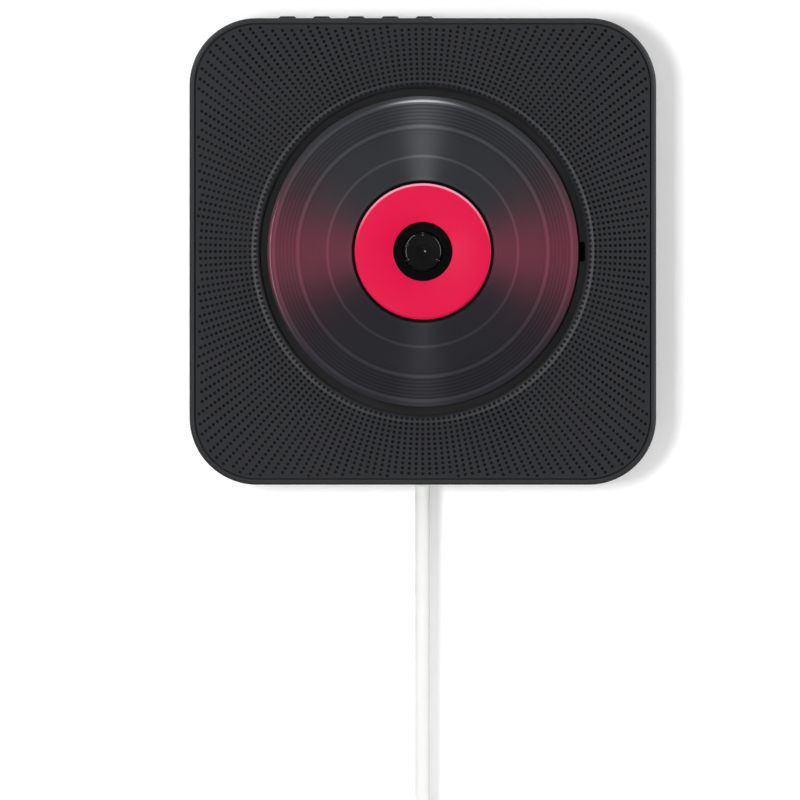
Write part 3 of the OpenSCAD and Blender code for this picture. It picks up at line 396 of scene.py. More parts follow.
def panel_rear(p, half, front, lip):
    """Rows of points round the panel, from its outline to the circle on the lip: the outer edge,
    the back's rim, then under the lip and up over it. Returns their flat places and heights."""
    ring = angles(2 * p.columns)
    outline = outline_reach(ring, half + p.edge_t, p.corner_r + p.edge_t)
    centre = (p.well_r + lip, front - lip)
    under = quarter(centre, (lip - p.skin_t,) * 2, 90, 180, 7)
    over = quarter(centre, (lip,) * 2, 180, 180 - LIP_MEETS, 6)[:-1]
    turned = np.concatenate([under, over])
    reach = np.concatenate([[outline, outline], np.repeat(turned[:, :1], len(ring), 1)])
    height = np.concatenate([[front - p.edge_t, front - p.skin_t], turned[:, 1]])
    return round_points(reach, ring), height[:, None]


def build_front_panel(p):
    """Closed shell: the perforated front, blind holes, a broken outer edge, a plain back, and the
    rolled lip of the well carried round as a quarter circle."""
    half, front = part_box("grille_skin")[1].x - p.edge_t, front_of("grille_skin")
    lip = front - back_of("grille_skin")
    flat, height, triangles, holes = panel_front(p, half, front, lip)
    floor = np.repeat(height[holes].mean(1) - p.hole_depth, HOLE_SIDES)
    bottoms = len(flat) + np.arange(holes.size).reshape(holes.shape)
    walls = np.stack([holes, np.roll(holes, -1, 1), np.roll(bottoms, -1, 1), bottoms], -1)

    rear, rear_height = panel_rear(p, half, front, lip)
    spokes = rear.shape[1]
    numbers = len(flat) + holes.size + np.arange(len(rear) * spokes).reshape(-1, spokes)
    numbers = np.concatenate([[np.arange(spokes, 2 * spokes)], numbers, [np.arange(spokes)]])
    after = np.roll(numbers, -1, 1)
    shell = np.stack([after[:-1], numbers[:-1], numbers[1:], after[1:]], -1).reshape(-1, 4)

    points = np.concatenate([
        on_wall(flat[:, 0], flat[:, 1], height),
        on_wall(flat[holes.ravel(), 0], flat[holes.ravel(), 1], floor),
        on_wall(rear[..., 0], rear[..., 1], rear_height),
    ])
    piece = make_piece("front_panel", points, triangles, walls.reshape(-1, 4), shell, bottoms,
                       sharp=35.0)
    # Marks the hole bottoms, which grille_black darkens as painted shade
    depth = np.zeros(len(points), np.float32)
    depth[bottoms] = 1
    piece.data.attributes.new("depth", "FLOAT", "POINT").data.foreach_set("value", depth)
    return piece


class PLAYER_OT_front_panel(Operator):
    """Perforated front panel with the rolled lip of the well"""

    bl_idname = "player.front_panel"
    bl_label = "Front panel"

    def execute(self, context):
        piece = build_front_panel(context.scene.player_panel)
        finish_piece(piece, "housing", "grille_black", "grille_skin")
        return {"FINISHED"}


# ----------------------------------------------------------------------------------- disc and label

def disc_profile(d, outer, front, back):
    """Section of the disc, from its edge over the grooved front to the bore and along the back. The
    grooves are a zigzag that is left flat over the plain bands. A ditch runs round the label, and
    another round the back."""
    steps = 2 * round((d.groove_last_r - d.groove_first_r) / d.groove_pitch)
    r = np.linspace(d.groove_last_r, d.groove_first_r, steps + 1)
    banded = np.min(np.abs(r[:, None] - [d.inner_band_r, d.outer_band_r]), 1) < d.band_half_w
    cut = d.groove_depth * (np.arange(steps + 1) % 2) * ~banded
    label_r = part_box("disc_label")[1].x
    edge_w, edge_t, round_r = 1.4 * MM, 0.45 * MM, 0.3 * MM
    ditch_t, ditch_wall = 0.12 * MM, 0.1 * MM
    back_r, back_w, back_wall = 17.0 * MM, 1.2 * MM, 0.3 * MM
    return np.concatenate([
        quarter((outer - edge_w, front - edge_t), (edge_w, edge_t), 0, 90, 10),
        np.stack([r, front - cut], -1),
        [[label_r + d.ditch_w, front], [label_r + d.ditch_w - ditch_wall, front - ditch_t],
         [label_r + ditch_wall / 2, front - ditch_t], [label_r - ditch_wall, front],
         [d.label_hole_r, front], [d.bore_r + round_r, front],
         [d.bore_r, front - round_r], [d.bore_r, back + round_r], [d.bore_r + round_r, back],
         [back_r, back], [back_r + back_wall, back + ditch_t],
         [back_r + back_w - back_wall, back + ditch_t], [back_r + back_w, back]],
        quarter((outer - round_r, back + round_r), (round_r, round_r), -90, -18, 5),
    ])


def label_profile(d, outer, front):
    """Section of the label: a quarter ellipse at the rim, flat over the face, round at the hole."""
    inner_w = 0.3 * MM
    return np.concatenate([
        quarter((outer - d.label_rim_w, front), (d.label_rim_w, d.label_t), 0, 90, 9),
        quarter((d.label_hole_r + inner_w, front), (inner_w, d.label_t), 90, 180, 6),
    ])


class PLAYER_OT_disc(Operator):
    """Disc with a record's grooves, and its raised label"""

    bl_idname = "player.disc"
    bl_label = "Disc and label"

    def execute(self, context):
        d = context.scene.player_disc
        front = front_of("disc")
        profile = disc_profile(d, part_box("disc")[1].x, front, back_of("disc"))
        disc = make_piece("record_disc", *lathe(profile, 256), sharp=6.0)
        finish_piece(disc, "disc", "disc_black", "disc")
        profile = label_profile(d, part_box("disc_label")[1].x - d.label_inset, front)
        label = make_piece("round_label", *lathe(profile, 192), sharp=50.0)
        finish_piece(label, "disc", "label_crimson", "disc_label")
        return {"FINISHED"}


# ------------------------------------------------------------------------------------ lead and plug

CORD_Y = -0.020
# The free stretch of the lead: straight down, then over to the coil's outer turn
CORD_ROUTE = [
    (0, CORD_Y, -0.068), (0, CORD_Y, -0.100), (0, CORD_Y, -0.120), (0, CORD_Y, -0.140),
    (0, CORD_Y, -0.160), (0, CORD_Y, -0.180), (0, CORD_Y, -0.200), (0, CORD_Y, -0.212),
    (0.0005, CORD_Y, -0.219), (0.0025, CORD_Y, -0.229), (0.007, CORD_Y, -0.239),
]
# Points of the straight run into the coil, by their distance before it
RUN_IN = (0.026, 0.020, 0.012, 0.006)


def coil_line(w, turn):
    """Centre line of the coil at each turn: its radius falls by a pitch a turn to the middle one and
    grows again, rounded off where it reverses, and it climbs a layer in the half turn there."""
    entry, soft = 1 / 8, 1 / 4
    past = turn - (w.coil_turns - entry) / 2
    winding = np.where(np.abs(past) < soft, past ** 2 / (2 * soft) + soft / 2, np.abs(past))
    radius = w.coil_inner_r + w.coil_pitch * winding
    climb = ease((past + soft) / (2 * soft))
    angle = TURN * (entry - turn)
    return np.stack([radius * np.cos(angle), CORD_Y + w.coil_pitch * (climb - 0.5),
                     radius * np.sin(angle) - w.coil_z], -1)


def cord_line(w):
    """The lead's centre line: its route, a straight run into the coil, the coil, a short way down."""
    points_a_turn = 24
    entry, ahead = coil_line(w, np.array([0.0, 0.002]))
    heading = (ahead - entry) / np.linalg.norm(ahead - entry)
    run_in = entry - np.array(RUN_IN)[:, None] * heading
    turns = np.append(np.arange(0, w.coil_turns, 1 / points_a_turn), w.coil_turns)
    coil = coil_line(w, turns)
    tail = coil[-1] - [0, 0, w.cord_d]
    return smooth_line(np.vstack([CORD_ROUTE, run_in, coil, tail]), 3)


def build_tie(w):
    """Band round the coil's top: a rounded section carried round a superellipse that just clears
    the turns. One end laps over the other."""
    low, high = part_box("cord_tie")
    middle, half = (low + high) / 2, (high - low) / 2
    loop, edge = angles(96)[:, None], angles(16)
    loop_power = 0.36
    lap_t, lap_from, lap_slope = 0.35 * MM, 0.9, 6
    lap = lap_t * np.clip(np.sin(loop - lap_from) * lap_slope, 0, 1)
    across = 0.5 * w.tie_w * rounded(np.cos(edge), 0.4)
    out = w.tie_t * (0.5 * rounded(np.sin(edge), 0.6) - 0.5) - lap_t + lap
    points = np.stack([
        np.broadcast_to(middle.x + across, out.shape),
        middle.y + rounded(np.cos(loop), loop_power) * (half.y + out),
        middle.z + rounded(np.sin(loop), loop_power) * (half.z + out),
    ], -1)
    return make_piece("coil_tie", points.reshape(-1, 3), grid_faces(*out.shape, close_rows=True),
                      sharp=60.0)


def upright(node, t):
    """Path down the middle of a node's box, from its top at t 0 to its bottom at t 1, and the
    node's half sizes across and deep."""
    low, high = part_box(node)
    path = np.stack([np.full_like(t, (low.x + high.x) / 2), np.full_like(t, (low.y + high.y) / 2),
                     high.z + (low.z - high.z) * t], -1)
    return path, (high.x - low.x) / 2, (high.y - low.y) / 2


def build_sleeve(w):
    """Tapered strain relief: a round section whose radius grows down its length, with soft ribs
    between its neck and its foot."""
    t = np.linspace(0, 1, 121)
    path, foot, _ = upright("plug_sleeve", t)
    wall_t, rib_t, spare = 0.5 * MM, 0.3 * MM, 0.05 * MM
    first, ribs, steepness = 0.1, 5.5, 2.5
    neck = w.cord_d / 2 + wall_t
    wave = np.clip(np.cos(TURN * ribs * (t - first)) * steepness, -1, 1)
    radius = neck + (foot - rib_t - spare - neck) * t ** 1.2
    radius += rib_t * wave * (t > 0.12) * (t < 0.9)
    radius[0] -= wall_t
    return make_piece("plug_relief", *loft(path, radius, radius, 40), sharp=50.0)


def build_plug():
    """Plug's grip: a rounded section lofted from the neck to the face, with four grip grooves over
    the broad sides and a rounded edge at the face."""
    shoulder, swell_from, swell_to, face = 0.02, 0.05, 0.55, 0.93
    groove_from, groove_to, groove_pitch = 0.2, 0.52, 1 / 12
    neck_x, neck_y, edge_r, groove_t = 7.5 * MM, 6.0 * MM, 1.2 * MM, 0.5 * MM
    t = np.concatenate([[0, shoulder / 2], np.linspace(shoulder, face, 92),
                        face + (1 - face) * np.sin(np.linspace(0.1, math.pi / 2, 8))])
    path, wide, deep = upright("plug_body", t)
    swell = ease((t - swell_from) / (swell_to - swell_from))
    neck = np.clip(t / shoulder, 0.82, 1)
    past = np.clip(t - face, 0, 1) / (1 - face)
    edge = edge_r * (1 - np.sqrt(np.clip(1 - past ** 2, 0, 1)))
    wave = np.clip(np.cos(TURN * t / groove_pitch), 0, 1)
    grooves = groove_t * wave * (t > groove_from) * (t < groove_to)
    across = (neck_x + (wide - neck_x) * swell) * neck - edge
    depth = (neck_y + (deep - neck_y) * swell) * neck - edge - grooves
    return make_piece("plug_grip", *loft(path, across, depth, 64, power=4.0), sharp=50.0)


class PLAYER_OT_lead(Operator):
    """White power lead with its coil, tie, strain relief and plug"""

    bl_idname = "player.lead"
    bl_label = "Lead and plug"

    def execute(self, context):
        w = context.scene.player_lead
        line = cord_line(w)
        radius = w.cord_d / 2
        lead = make_piece("power_lead", *loft(line, radius, radius, 20), sharp=50.0)
        finish_piece(lead, "pull_cord", "cord_white", "power_cord", "cord_coil")
        tie, sleeve, plug = build_tie(w), build_sleeve(w), build_plug()
        finish_piece(tie, "pull_cord", "tie_black", "cord_tie")
        finish_piece(sleeve, "pull_cord", "cord_white", "plug_sleeve")
        finish_piece(plug, "pull_cord", "cord_white", "plug_body")
        return {"FINISHED"}


class PLAYER_OT_return_spring(Operator):
    """Return spring of the pull switch, which in the player shortens as the lead is pulled"""

    bl_idname = "player.return_spring"
    bl_label = "Return spring"

    def execute(self, context):
        low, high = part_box("pull_spring")
        turns, flat_end, wire_r = 5, 0.35, 0.4 * MM
        t = np.linspace(0, turns, turns * 36 + 1)
        radius = (high.x - low.x) / 2 - wire_r
        rise = np.clip((t - flat_end) / (turns - 2 * flat_end), 0, 1)
        path = np.stack([radius * np.cos(TURN * t), CORD_Y + radius * np.sin(TURN * t),
                         low.z + wire_r + (high.z - low.z - 2 * wire_r) * rise], -1)
        spring = make_piece("return_spring", *loft(path, wire_r, wire_r, 10, side=(0, 0, 1)),
                            sharp=50.0)
        finish_piece(spring, "housing", "bright_steel", "pull_spring")
        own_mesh(spring)
        return {"FINISHED"}


# --------------------------------------------------------------------------------------- materials

BLACK = (0.0, 0.0, 0.0)
DUST = (0.35, 0.34, 0.32)


def scaled(tone, gain, lift=0.0):
    """Tone made brighter or darker by a gain, with a lift on top."""
    return tuple(min(1.0, t * gain + lift) for t in tone)


def put(tree, kind, sockets=None, **settings):
    """New node. sockets gives values or links by name or number, settings the node's own choices."""
    node = tree.nodes.new(kind)
    for name, value in settings.items():
        setattr(node, name, value)
    for name, value in (sockets or {}).items():
        if isinstance(value, bpy.types.NodeSocket):
            tree.links.new(value, node.inputs[name])
        else:
            node.inputs[name].default_value = value
    return node


def maths(tree, operation, *terms):
    """Result of a Math node."""
    return put(tree, "ShaderNodeMath", dict(enumerate(terms)), operation=operation).outputs[0]


def times(tree, first, *others):
    """Product of several values."""
    for value in others:
        first = maths(tree, "MULTIPLY", first, value)
    return first


def apart(tree, value, middle):
    """How far a value lies from a middle, either way."""
    return maths(tree, "ABSOLUTE", maths(tree, "SUBTRACT", value, middle))


def ramp(tree, value, low, high, least=0.0, most=1.0):
    """Smooth ramp: least where the value is at low, most where it is at high, and held past both."""
    sockets = {"Value": value, "From Min": low, "From Max": high, "To Min": least, "To Max": most}
    return put(tree, "ShaderNodeMapRange", sockets, interpolation_type="SMOOTHSTEP").outputs[0]


def mix_colours(tree, factor, *tones):
    """The first of two tones where factor is 0, and the second where it is 1."""
    first, second = (tone if isinstance(tone, bpy.types.NodeSocket) else (*tone, 1)
                     for tone in tones)
    sockets = {0: factor, 6: first, 7: second}
    return put(tree, "ShaderNodeMix", sockets, data_type="RGBA").outputs[2]


def object_place(tree):
    """Object coordinates of the shaded point."""
    return put(tree, "ShaderNodeTexCoord").outputs["Object"]


def split(tree, vector):
    """X, Y and Z of a vector."""
    return put(tree, "ShaderNodeSeparateXYZ", {0: vector}).outputs


def noise(tree, scale, detail, place=None):
    """Noise from 0 to 1, on Object coordinates where no other place is given."""
    sockets = {"Vector": place or object_place(tree), "Scale": scale, "Detail": detail}
    return put(tree, "ShaderNodeTexNoise", sockets).outputs[0]


def cells(tree, place, scale):
    """Outputs of a lattice of uneven cells, among them each one's Distance and Color."""
    return put(tree, "ShaderNodeTexVoronoi", {"Vector": place, "Scale": scale}).outputs


def drift(tree, scale, detail, most=1.0):
    """Soft patches, from 0 to the most given."""
    return ramp(tree, noise(tree, scale, detail), 0.3, 0.7, most=most)


def grain_group(tree, given):
    """Fine moulded texture: round pits at the given size, broken up by noise."""
    scale = maths(tree, "DIVIDE", 1.0, given["Size"])
    place = object_place(tree)
    pits = cells(tree, place, scale)["Distance"]
    rough = noise(tree, maths(tree, "MULTIPLY", scale, 0.6), 3.0, place)
    return {"Height": times(tree, pits, maths(tree, "ADD", rough, 0.5))}


def wear_group(tree, given):
    """Handled edges: where a rounded normal leans away from the surface's own, less some noise."""
    round_normal = put(tree, "ShaderNodeBevel", {"Radius": given["Width"]}, samples=4).outputs[0]
    plain = put(tree, "ShaderNodeNewGeometry").outputs["Normal"]
    likeness = put(tree, "ShaderNodeVectorMath", {0: round_normal, 1: plain},
                   operation="DOT_PRODUCT").outputs["Value"]
    edge = ramp(tree, likeness, 0.99, 0.85)
    broken = ramp(tree, noise(tree, 260.0, 4.0), 0.35, 0.7)
    return {"Mask": times(tree, edge, broken, given["Amount"])}


def dust_group(tree, given):
    """Settled dust: more on what faces up, in soft patches of fine specks."""
    up = split(tree, put(tree, "ShaderNodeNewGeometry").outputs["Normal"])["Z"]
    specks = ramp(tree, noise(tree, 2400.0, 3.0), 0.5, 0.75)
    facing = ramp(tree, up, -0.2, 1.0, least=0.12)
    return {"Mask": times(tree, specks, drift(tree, 35.0, 3.0), facing, given["Amount"])}


def touch_group(tree, given):
    """Roughness that drifts between two values, as a handled surface has it."""
    span = maths(tree, "SUBTRACT", given["High"], given["Low"])
    drifting = maths(tree, "MULTIPLY_ADD", drift(tree, 45.0, 4.0), span, given["Low"])
    return {"Roughness": drifting}


def ring_group(tree, given):
    """Rings round an axis square to the wall: the radius, which way a point lies, and a wave of the
    given pitch along the radius."""
    place = split(tree, object_place(tree))
    x = maths(tree, "SUBTRACT", place["X"], given["Centre X"])
    z = maths(tree, "SUBTRACT", place["Z"], given["Centre Z"])
    squares = maths(tree, "MULTIPLY_ADD", x, x, maths(tree, "MULTIPLY", z, z))
    radius = maths(tree, "MAXIMUM", maths(tree, "SQRT", squares), 1e-6)
    wave = maths(tree, "PINGPONG", maths(tree, "DIVIDE", radius, given["Pitch"]), 0.5)
    return {"Radius": radius, "Right": maths(tree, "DIVIDE", x, radius),
            "Up": maths(tree, "DIVIDE", z, radius), "Wave": wave}


# Shared groups: title, inputs with their plain values, and the function that fills each one
GROUPS = {
    "grain": ("Moulded grain", {"Size": 0.5 * MM}, grain_group),
    "wear": ("Worn edges", {"Width": 0.4 * MM, "Amount": 0.5}, wear_group),
    "dust": ("Settled dust", {"Amount": 0.2}, dust_group),
    "touch": ("Handled gloss", {"Low": 0.4, "High": 0.5}, touch_group),
    "rings": ("Turned rings", {"Centre X": 0.0, "Centre Z": 0.0, "Pitch": 0.5 * MM}, ring_group),
}
built_groups = {}


def new_group(title, inputs, fill):
    """Shader node group with number sockets. fill makes its nodes and gives its outputs by name."""
    tree = bpy.data.node_groups.new(title, "ShaderNodeTree")
    for label, value in inputs.items():
        socket = tree.interface.new_socket(label, in_out="INPUT", socket_type="NodeSocketFloat")
        socket.default_value = value
    results = fill(tree, put(tree, "NodeGroupInput").outputs)
    for label in results:
        tree.interface.new_socket(label, in_out="OUTPUT", socket_type="NodeSocketFloat")
    put(tree, "NodeGroupOutput", results)
    return tree


def use_group(tree, name, **values):
    """Places one of the shared groups, made on its first use, with its own values."""
    if name not in built_groups:
        built_groups[name] = new_group(*GROUPS[name])
    node = put(tree, "ShaderNodeGroup", node_tree=built_groups[name])
    for label, value in values.items():
        node.inputs[label.replace("_", " ")].default_value = value
    return node.outputs


def new_finish(name, **constants):
    """Material with a Principled BSDF. Constants are its plain sockets."""
    material = bpy.data.materials.new(name)
    material.use_nodes = True
    shader = material.node_tree.nodes["Principled BSDF"]
    for label, value in constants.items():
        shader.inputs[label.replace("_", " ")].default_value = value
    return material, material.node_tree, shader.inputs


def paint(tree, sockets, base, low, high):
    """Feeds the shader its colour, and a roughness that drifts from low to high."""
    tree.links.new(base, sockets["Base Color"])
    tree.links.new(use_group(tree, "touch", Low=low, High=high)["Roughness"], sockets["Roughness"])


def bump(tree, sockets, height, strength, distance):
    """Feeds a height, which is 0 to 1, to the shader's normal as relief of that depth."""
    relief = put(tree, "ShaderNodeBump", {"Height": height, "Strength": strength,
                                          "Distance": distance})
    tree.links.new(relief.outputs[0], sockets["Normal"])


def grained(tree, sockets, size, strength, distance):
    """Relief of moulded grain, with pits of that size."""
    bump(tree, sockets, use_group(tree, "grain", Size=size)["Height"], strength, distance)


def worn(tree, base, amount, tone):
    """Base with another tone on its handled edges."""
    return mix_colours(tree, use_group(tree, "wear", Amount=amount)["Mask"], base, tone)


def dusted(tree, base, amount, tone=DUST):
    """Base under a little settled dust."""
    return mix_colours(tree, use_group(tree, "dust", Amount=amount)["Mask"], base, tone)


def moulded(name, tone, low, high, grain=0.45 * MM, relief=0.03 * MM, wear=0.25, dust=0.15,
            **constants):
    """Moulded plastic: fine grain, drifting gloss, paler edges and a little dust."""
    material, tree, sockets = new_finish(name, **{"Specular_IOR_Level": 0.1, **constants})
    pale = scaled(tone, 1.6, 0.02)
    base = mix_colours(tree, drift(tree, 18.0, 3.0, 0.12), tone, pale)
    base = dusted(tree, worn(tree, base, wear, pale), dust)
    paint(tree, sockets, base, low, high)
    grained(tree, sockets, grain, 0.6, relief)
    return material


def steel(name, tone, low, high):
    """Turned or rolled steel: fine rings in the surface, drifting gloss, brighter edges."""
    material, tree, sockets = new_finish(name, Metallic=1.0)
    grime = ramp(tree, noise(tree, 60.0, 5.0), 0.35, 0.75, most=0.35)
    base = mix_colours(tree, grime, tone, scaled(tone, 0.6))
    paint(tree, sockets, worn(tree, base, 0.3, scaled(tone, 1.25)), low, high)
    bump(tree, sockets, use_group(tree, "rings", Pitch=0.35 * MM)["Wave"], 0.4, 0.01 * MM)
    return material


def grille_black(c):
    """The housing's plastic on the perforated panel, with a painted highlight where it turns down
    into the well, stronger at the sides, and painted shade down in the holes."""
    material, tree, sockets = new_finish("grille_black", Specular_IOR_Level=0.07)
    base = mix_colours(tree, drift(tree, 18.0, 3.0, 0.1), c.panel, scaled(c.panel, 1.5, 0.01))
    base = dusted(tree, base, 0.12)
    rings = use_group(tree, "rings")
    radius, side = rings["Radius"], maths(tree, "ABSOLUTE", rings["Right"])
    p = bpy.context.scene.player_panel
    crest_r = p.well_r + p.crest_highlight_w
    # Painted highlight: a paler ring along the lip's crest, stronger at the sides where the side
    # lamps fall
    crest_highlight = times(tree, ramp(tree, apart(tree, radius, crest_r), 1.1 * MM, 0.2 * MM),
                  maths(tree, "MULTIPLY_ADD", side, 0.09, 0.02))
    base = mix_colours(tree, crest_highlight, base, (0.35, 0.35, 0.37))
    # Painted shade: the hole bottoms near black, less so in the first row under the crest's painted
    # highlight
    depth = put(tree, "ShaderNodeAttribute", attribute_name="depth").outputs["Fac"]
    deep = times(tree, ramp(tree, depth, 0.0, 0.6),
                 ramp(tree, radius, crest_r - 0.6 * MM, crest_r + 0.3 * MM, least=0.6))
    base = mix_colours(tree, deep, base, (0.001, 0.001, 0.001))
    paint(tree, sockets, base, 0.5, 0.6)
    grained(tree, sockets, 0.4 * MM, 0.5, 0.02 * MM)
    return material


def bracket_steel(c):
    """Rolled, zinc plated sheet: crystal spangle under fine rolling lines, brighter cut edges."""
    material, tree, sockets = new_finish("bracket_steel", Metallic=0.9)
    place = object_place(tree)
    spangle = split(tree, cells(tree, place, 260.0)["Color"])["X"]
    base = mix_colours(tree, ramp(tree, spangle, 0.0, 1.0, most=0.5), c.bracket,
                       scaled(c.bracket, 0.62))
    paint(tree, sockets, worn(tree, base, 0.6, (0.8, 0.81, 0.82)), 0.3, 0.48)
    stretched = put(tree, "ShaderNodeMapping", {0: place, "Scale": (2600.0, 2600.0, 60.0)})
    bump(tree, sockets, noise(tree, 1.0, 2.0, stretched.outputs[0]), 0.3, 0.01 * MM)
    return material


def circuit_board(c):
    """Lacquered board: copper tracks on a square lattice under green, with tinned pads."""
    material, tree, sockets = new_finish("board_green", Coat_Weight=0.4, Coat_Roughness=0.15)
    place = object_place(tree)
    lattice = {"Vector": place, "Scale": 220.0, "Mortar Size": 0.06, "Mortar Smooth": 0.2}
    tracks = put(tree, "ShaderNodeTexBrick", lattice).outputs["Fac"]
    pads = ramp(tree, cells(tree, place, 420.0)["Distance"], 0.16, 0.12)
    base = mix_colours(tree, tracks, c.board, scaled(c.board, 1.9, 0.01))
    paint(tree, sockets, mix_colours(tree, pads, base, (0.55, 0.55, 0.56)), 0.25, 0.4)
    bump(tree, sockets, tracks, 0.5, 0.03 * MM)
    return material


def lead_white(c):
    """Smooth white sheath: soft gloss, a fine uneven surface, a trace of handling."""
    material, tree, sockets = new_finish("cord_white", Specular_IOR_Level=0.1,
                                         Subsurface_Weight=0.12, Subsurface_Scale=1.2 * MM,
                                         Subsurface_Radius=(1.0, 0.95, 0.85))
    handled = tuple(t * s for t, s in zip(c.lead, (0.93, 0.91, 0.86)))
    stain = ramp(tree, noise(tree, 30.0, 4.0), 0.5, 0.8, most=0.35)
    base = dusted(tree, mix_colours(tree, stain, c.lead, handled), 0.1, (0.4, 0.39, 0.37))
    paint(tree, sockets, base, 0.32, 0.44)
    bump(tree, sockets, noise(tree, 900.0, 3.0), 0.25, 0.01 * MM)
    return material


def woven_tape(c):
    """Hook and loop tape: a fine over and under weave with a fuzz of loops."""
    material, tree, sockets = new_finish("tie_black", Sheen_Weight=0.5, Sheen_Roughness=0.5,
                                         Specular_IOR_Level=0.2)
    thread_pitch = 0.7 * MM
    place = split(tree, object_place(tree))
    warp, weft = (maths(tree, "SINE", maths(tree, "MULTIPLY", place[axis], TURN / thread_pitch))
                  for axis in "XZ")
    weave = maths(tree, "MULTIPLY_ADD", maths(tree, "MULTIPLY", warp, weft), 0.5, 0.5)
    height = maths(tree, "MULTIPLY_ADD", weave, 0.6, noise(tree, 3200.0, 4.0))
    # Paler on the raised threads and darker where the weave dips: painted shade, with random tone
    # from the fuzz
    base = mix_colours(tree, ramp(tree, height, 0.4, 1.2), scaled(c.trim, 0.7),
                       scaled(c.trim, 2.2, 0.01))
    paint(tree, sockets, base, 0.75, 0.9)
    bump(tree, sockets, height, 0.8, 0.15 * MM)
    return material


def paper_cone(c):
    """Pressed paper: fibres, and pressed rings round the right speaker's axis."""
    material, tree, sockets = new_finish("cone_grey", Specular_IOR_Level=0.2)
    fibres = noise(tree, 1800.0, 6.0)
    base = mix_colours(tree, ramp(tree, fibres, 0.35, 0.7), c.cone, scaled(c.cone, 1.8))
    paint(tree, sockets, base, 0.8, 0.9)
    low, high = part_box("speaker_cones")
    axis_x = high.x - (high.z - low.z) / 2
    rings = use_group(tree, "rings", Centre_X=axis_x, Centre_Z=(low.z + high.z) / 2,
                      Pitch=1.6 * MM)["Wave"]
    bump(tree, sockets, maths(tree, "MULTIPLY_ADD", fibres, 0.5, rings), 0.6, 0.1 * MM)
    return material


def painted_fans(tree, c, rings):
    """The disc's tones by direction, all painted light: painted shade that leaves it paler above than
    below, a maroon painted reflection fan at either side, and a narrow grey one at top and bottom.
    Returns the tone and the masks of both pairs of fans."""
    up = rings["Up"]
    side = maths(tree, "POWER", maths(tree, "ABSOLUTE", rings["Right"]), 13.0)
    painted_fan = times(tree, maths(tree, "POWER", maths(tree, "ABSOLUTE", up), 70.0),
                ramp(tree, up, -1.0, 1.0, least=0.24))
    base = mix_colours(tree, ramp(tree, up, -0.35, 0.35), c.disc_lower_shaded, c.disc_upper_lit)
    base = mix_colours(tree, side, base, c.disc_side_sheen)
    return mix_colours(tree, painted_fan, base, c.disc_fan_sheen), side, painted_fan


def edge_dark_lines(tree, d, radius):
    """Mask of the darker lines near the edge, which fade out at the outer plain band and end with
    the grooves."""
    wave = use_group(tree, "rings", Pitch=d.line_pitch)["Wave"]
    return times(tree, ramp(tree, wave, 0.4, 0.0, most=0.32),
                 ramp(tree, radius, d.outer_band_r - 6 * MM, d.outer_band_r + 2 * MM),
                 ramp(tree, apart(tree, radius, d.outer_band_r), 0.4 * MM, 1.0 * MM),
                 maths(tree, "LESS_THAN", radius, d.groove_last_r))


def ring_highlight_gain(tree, d, radius, calm):
    """Gain of the painted highlight rings: where the grooves start and end, the plain bands, the
    edge.
    """
    gain = 1.0
    for middle, half, strength in ((d.groove_first_r + 0.6 * MM, 0.35 * MM, 0.2),
                                   (d.inner_band_r, 0.6 * MM, 0.75),
                                   (d.outer_band_r, 0.7 * MM, 0.75),
                                   (d.groove_last_r + 0.25 * MM, 0.7 * MM, 0.7),
                                   (d.groove_last_r + 1.5 * MM, 1.2 * MM, 0.2)):
        ring = ramp(tree, apart(tree, radius, middle), half * 1.2, half * 0.4, most=strength)
        gain = maths(tree, "MULTIPLY_ADD", ring, calm, gain)
    return gain


def disc_print_and_sheen(c):
    """The disc's glossy black with painted light: painted reflection fans, a short painted glint at
    the top of the edge, painted shade in the grooves, darker lines near the edge, painted highlight
    rings that are calmer in the side fans, and black in the label's ditch and inside."""
    material, tree, sockets = new_finish("disc_black", Specular_IOR_Level=0.03)
    d = bpy.context.scene.player_disc
    rings = use_group(tree, "rings", Pitch=d.groove_pitch)
    radius = rings["Radius"]
    base, side, painted_fan = painted_fans(tree, c, rings)
    # Painted glint: a painted highlight at the top of the disc's edge
    painted_glint = times(tree, painted_fan, ramp(tree, rings["Up"], 0.0, 0.9),
                  ramp(tree, apart(tree, radius, d.groove_last_r + 0.85 * MM),
                       0.7 * MM, 0.1 * MM, most=0.55))
    base = mix_colours(tree, painted_glint, base, (0.6, 0.6, 0.62))
    # Painted shade in the grooves: darker along the groove wave
    base = mix_colours(tree, maths(tree, "MULTIPLY", rings["Wave"], 0.3), base, BLACK)
    calm = maths(tree, "MULTIPLY_ADD", side, -0.45, 1.0)
    base = mix_colours(tree, times(tree, edge_dark_lines(tree, d, radius), calm), base, BLACK)
    # Painted highlight rings: the tone is raised at the band and groove edges and at the rim
    base = put(tree, "ShaderNodeVectorMath", {0: base, "Scale": ring_highlight_gain(tree, d, radius, calm)},
               operation="SCALE").outputs["Vector"]
    ditch_r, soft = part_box("disc_label")[1].x + d.ditch_w, 0.15 * MM
    base = mix_colours(tree, ramp(tree, radius, ditch_r + soft, ditch_r - soft), base,
                       (0.0006, 0.0006, 0.0007))
    paint(tree, sockets, base, 0.12, 0.18)
    bump(tree, sockets, noise(tree, 5000.0, 1.0), 0.05, 0.002 * MM)
    return material


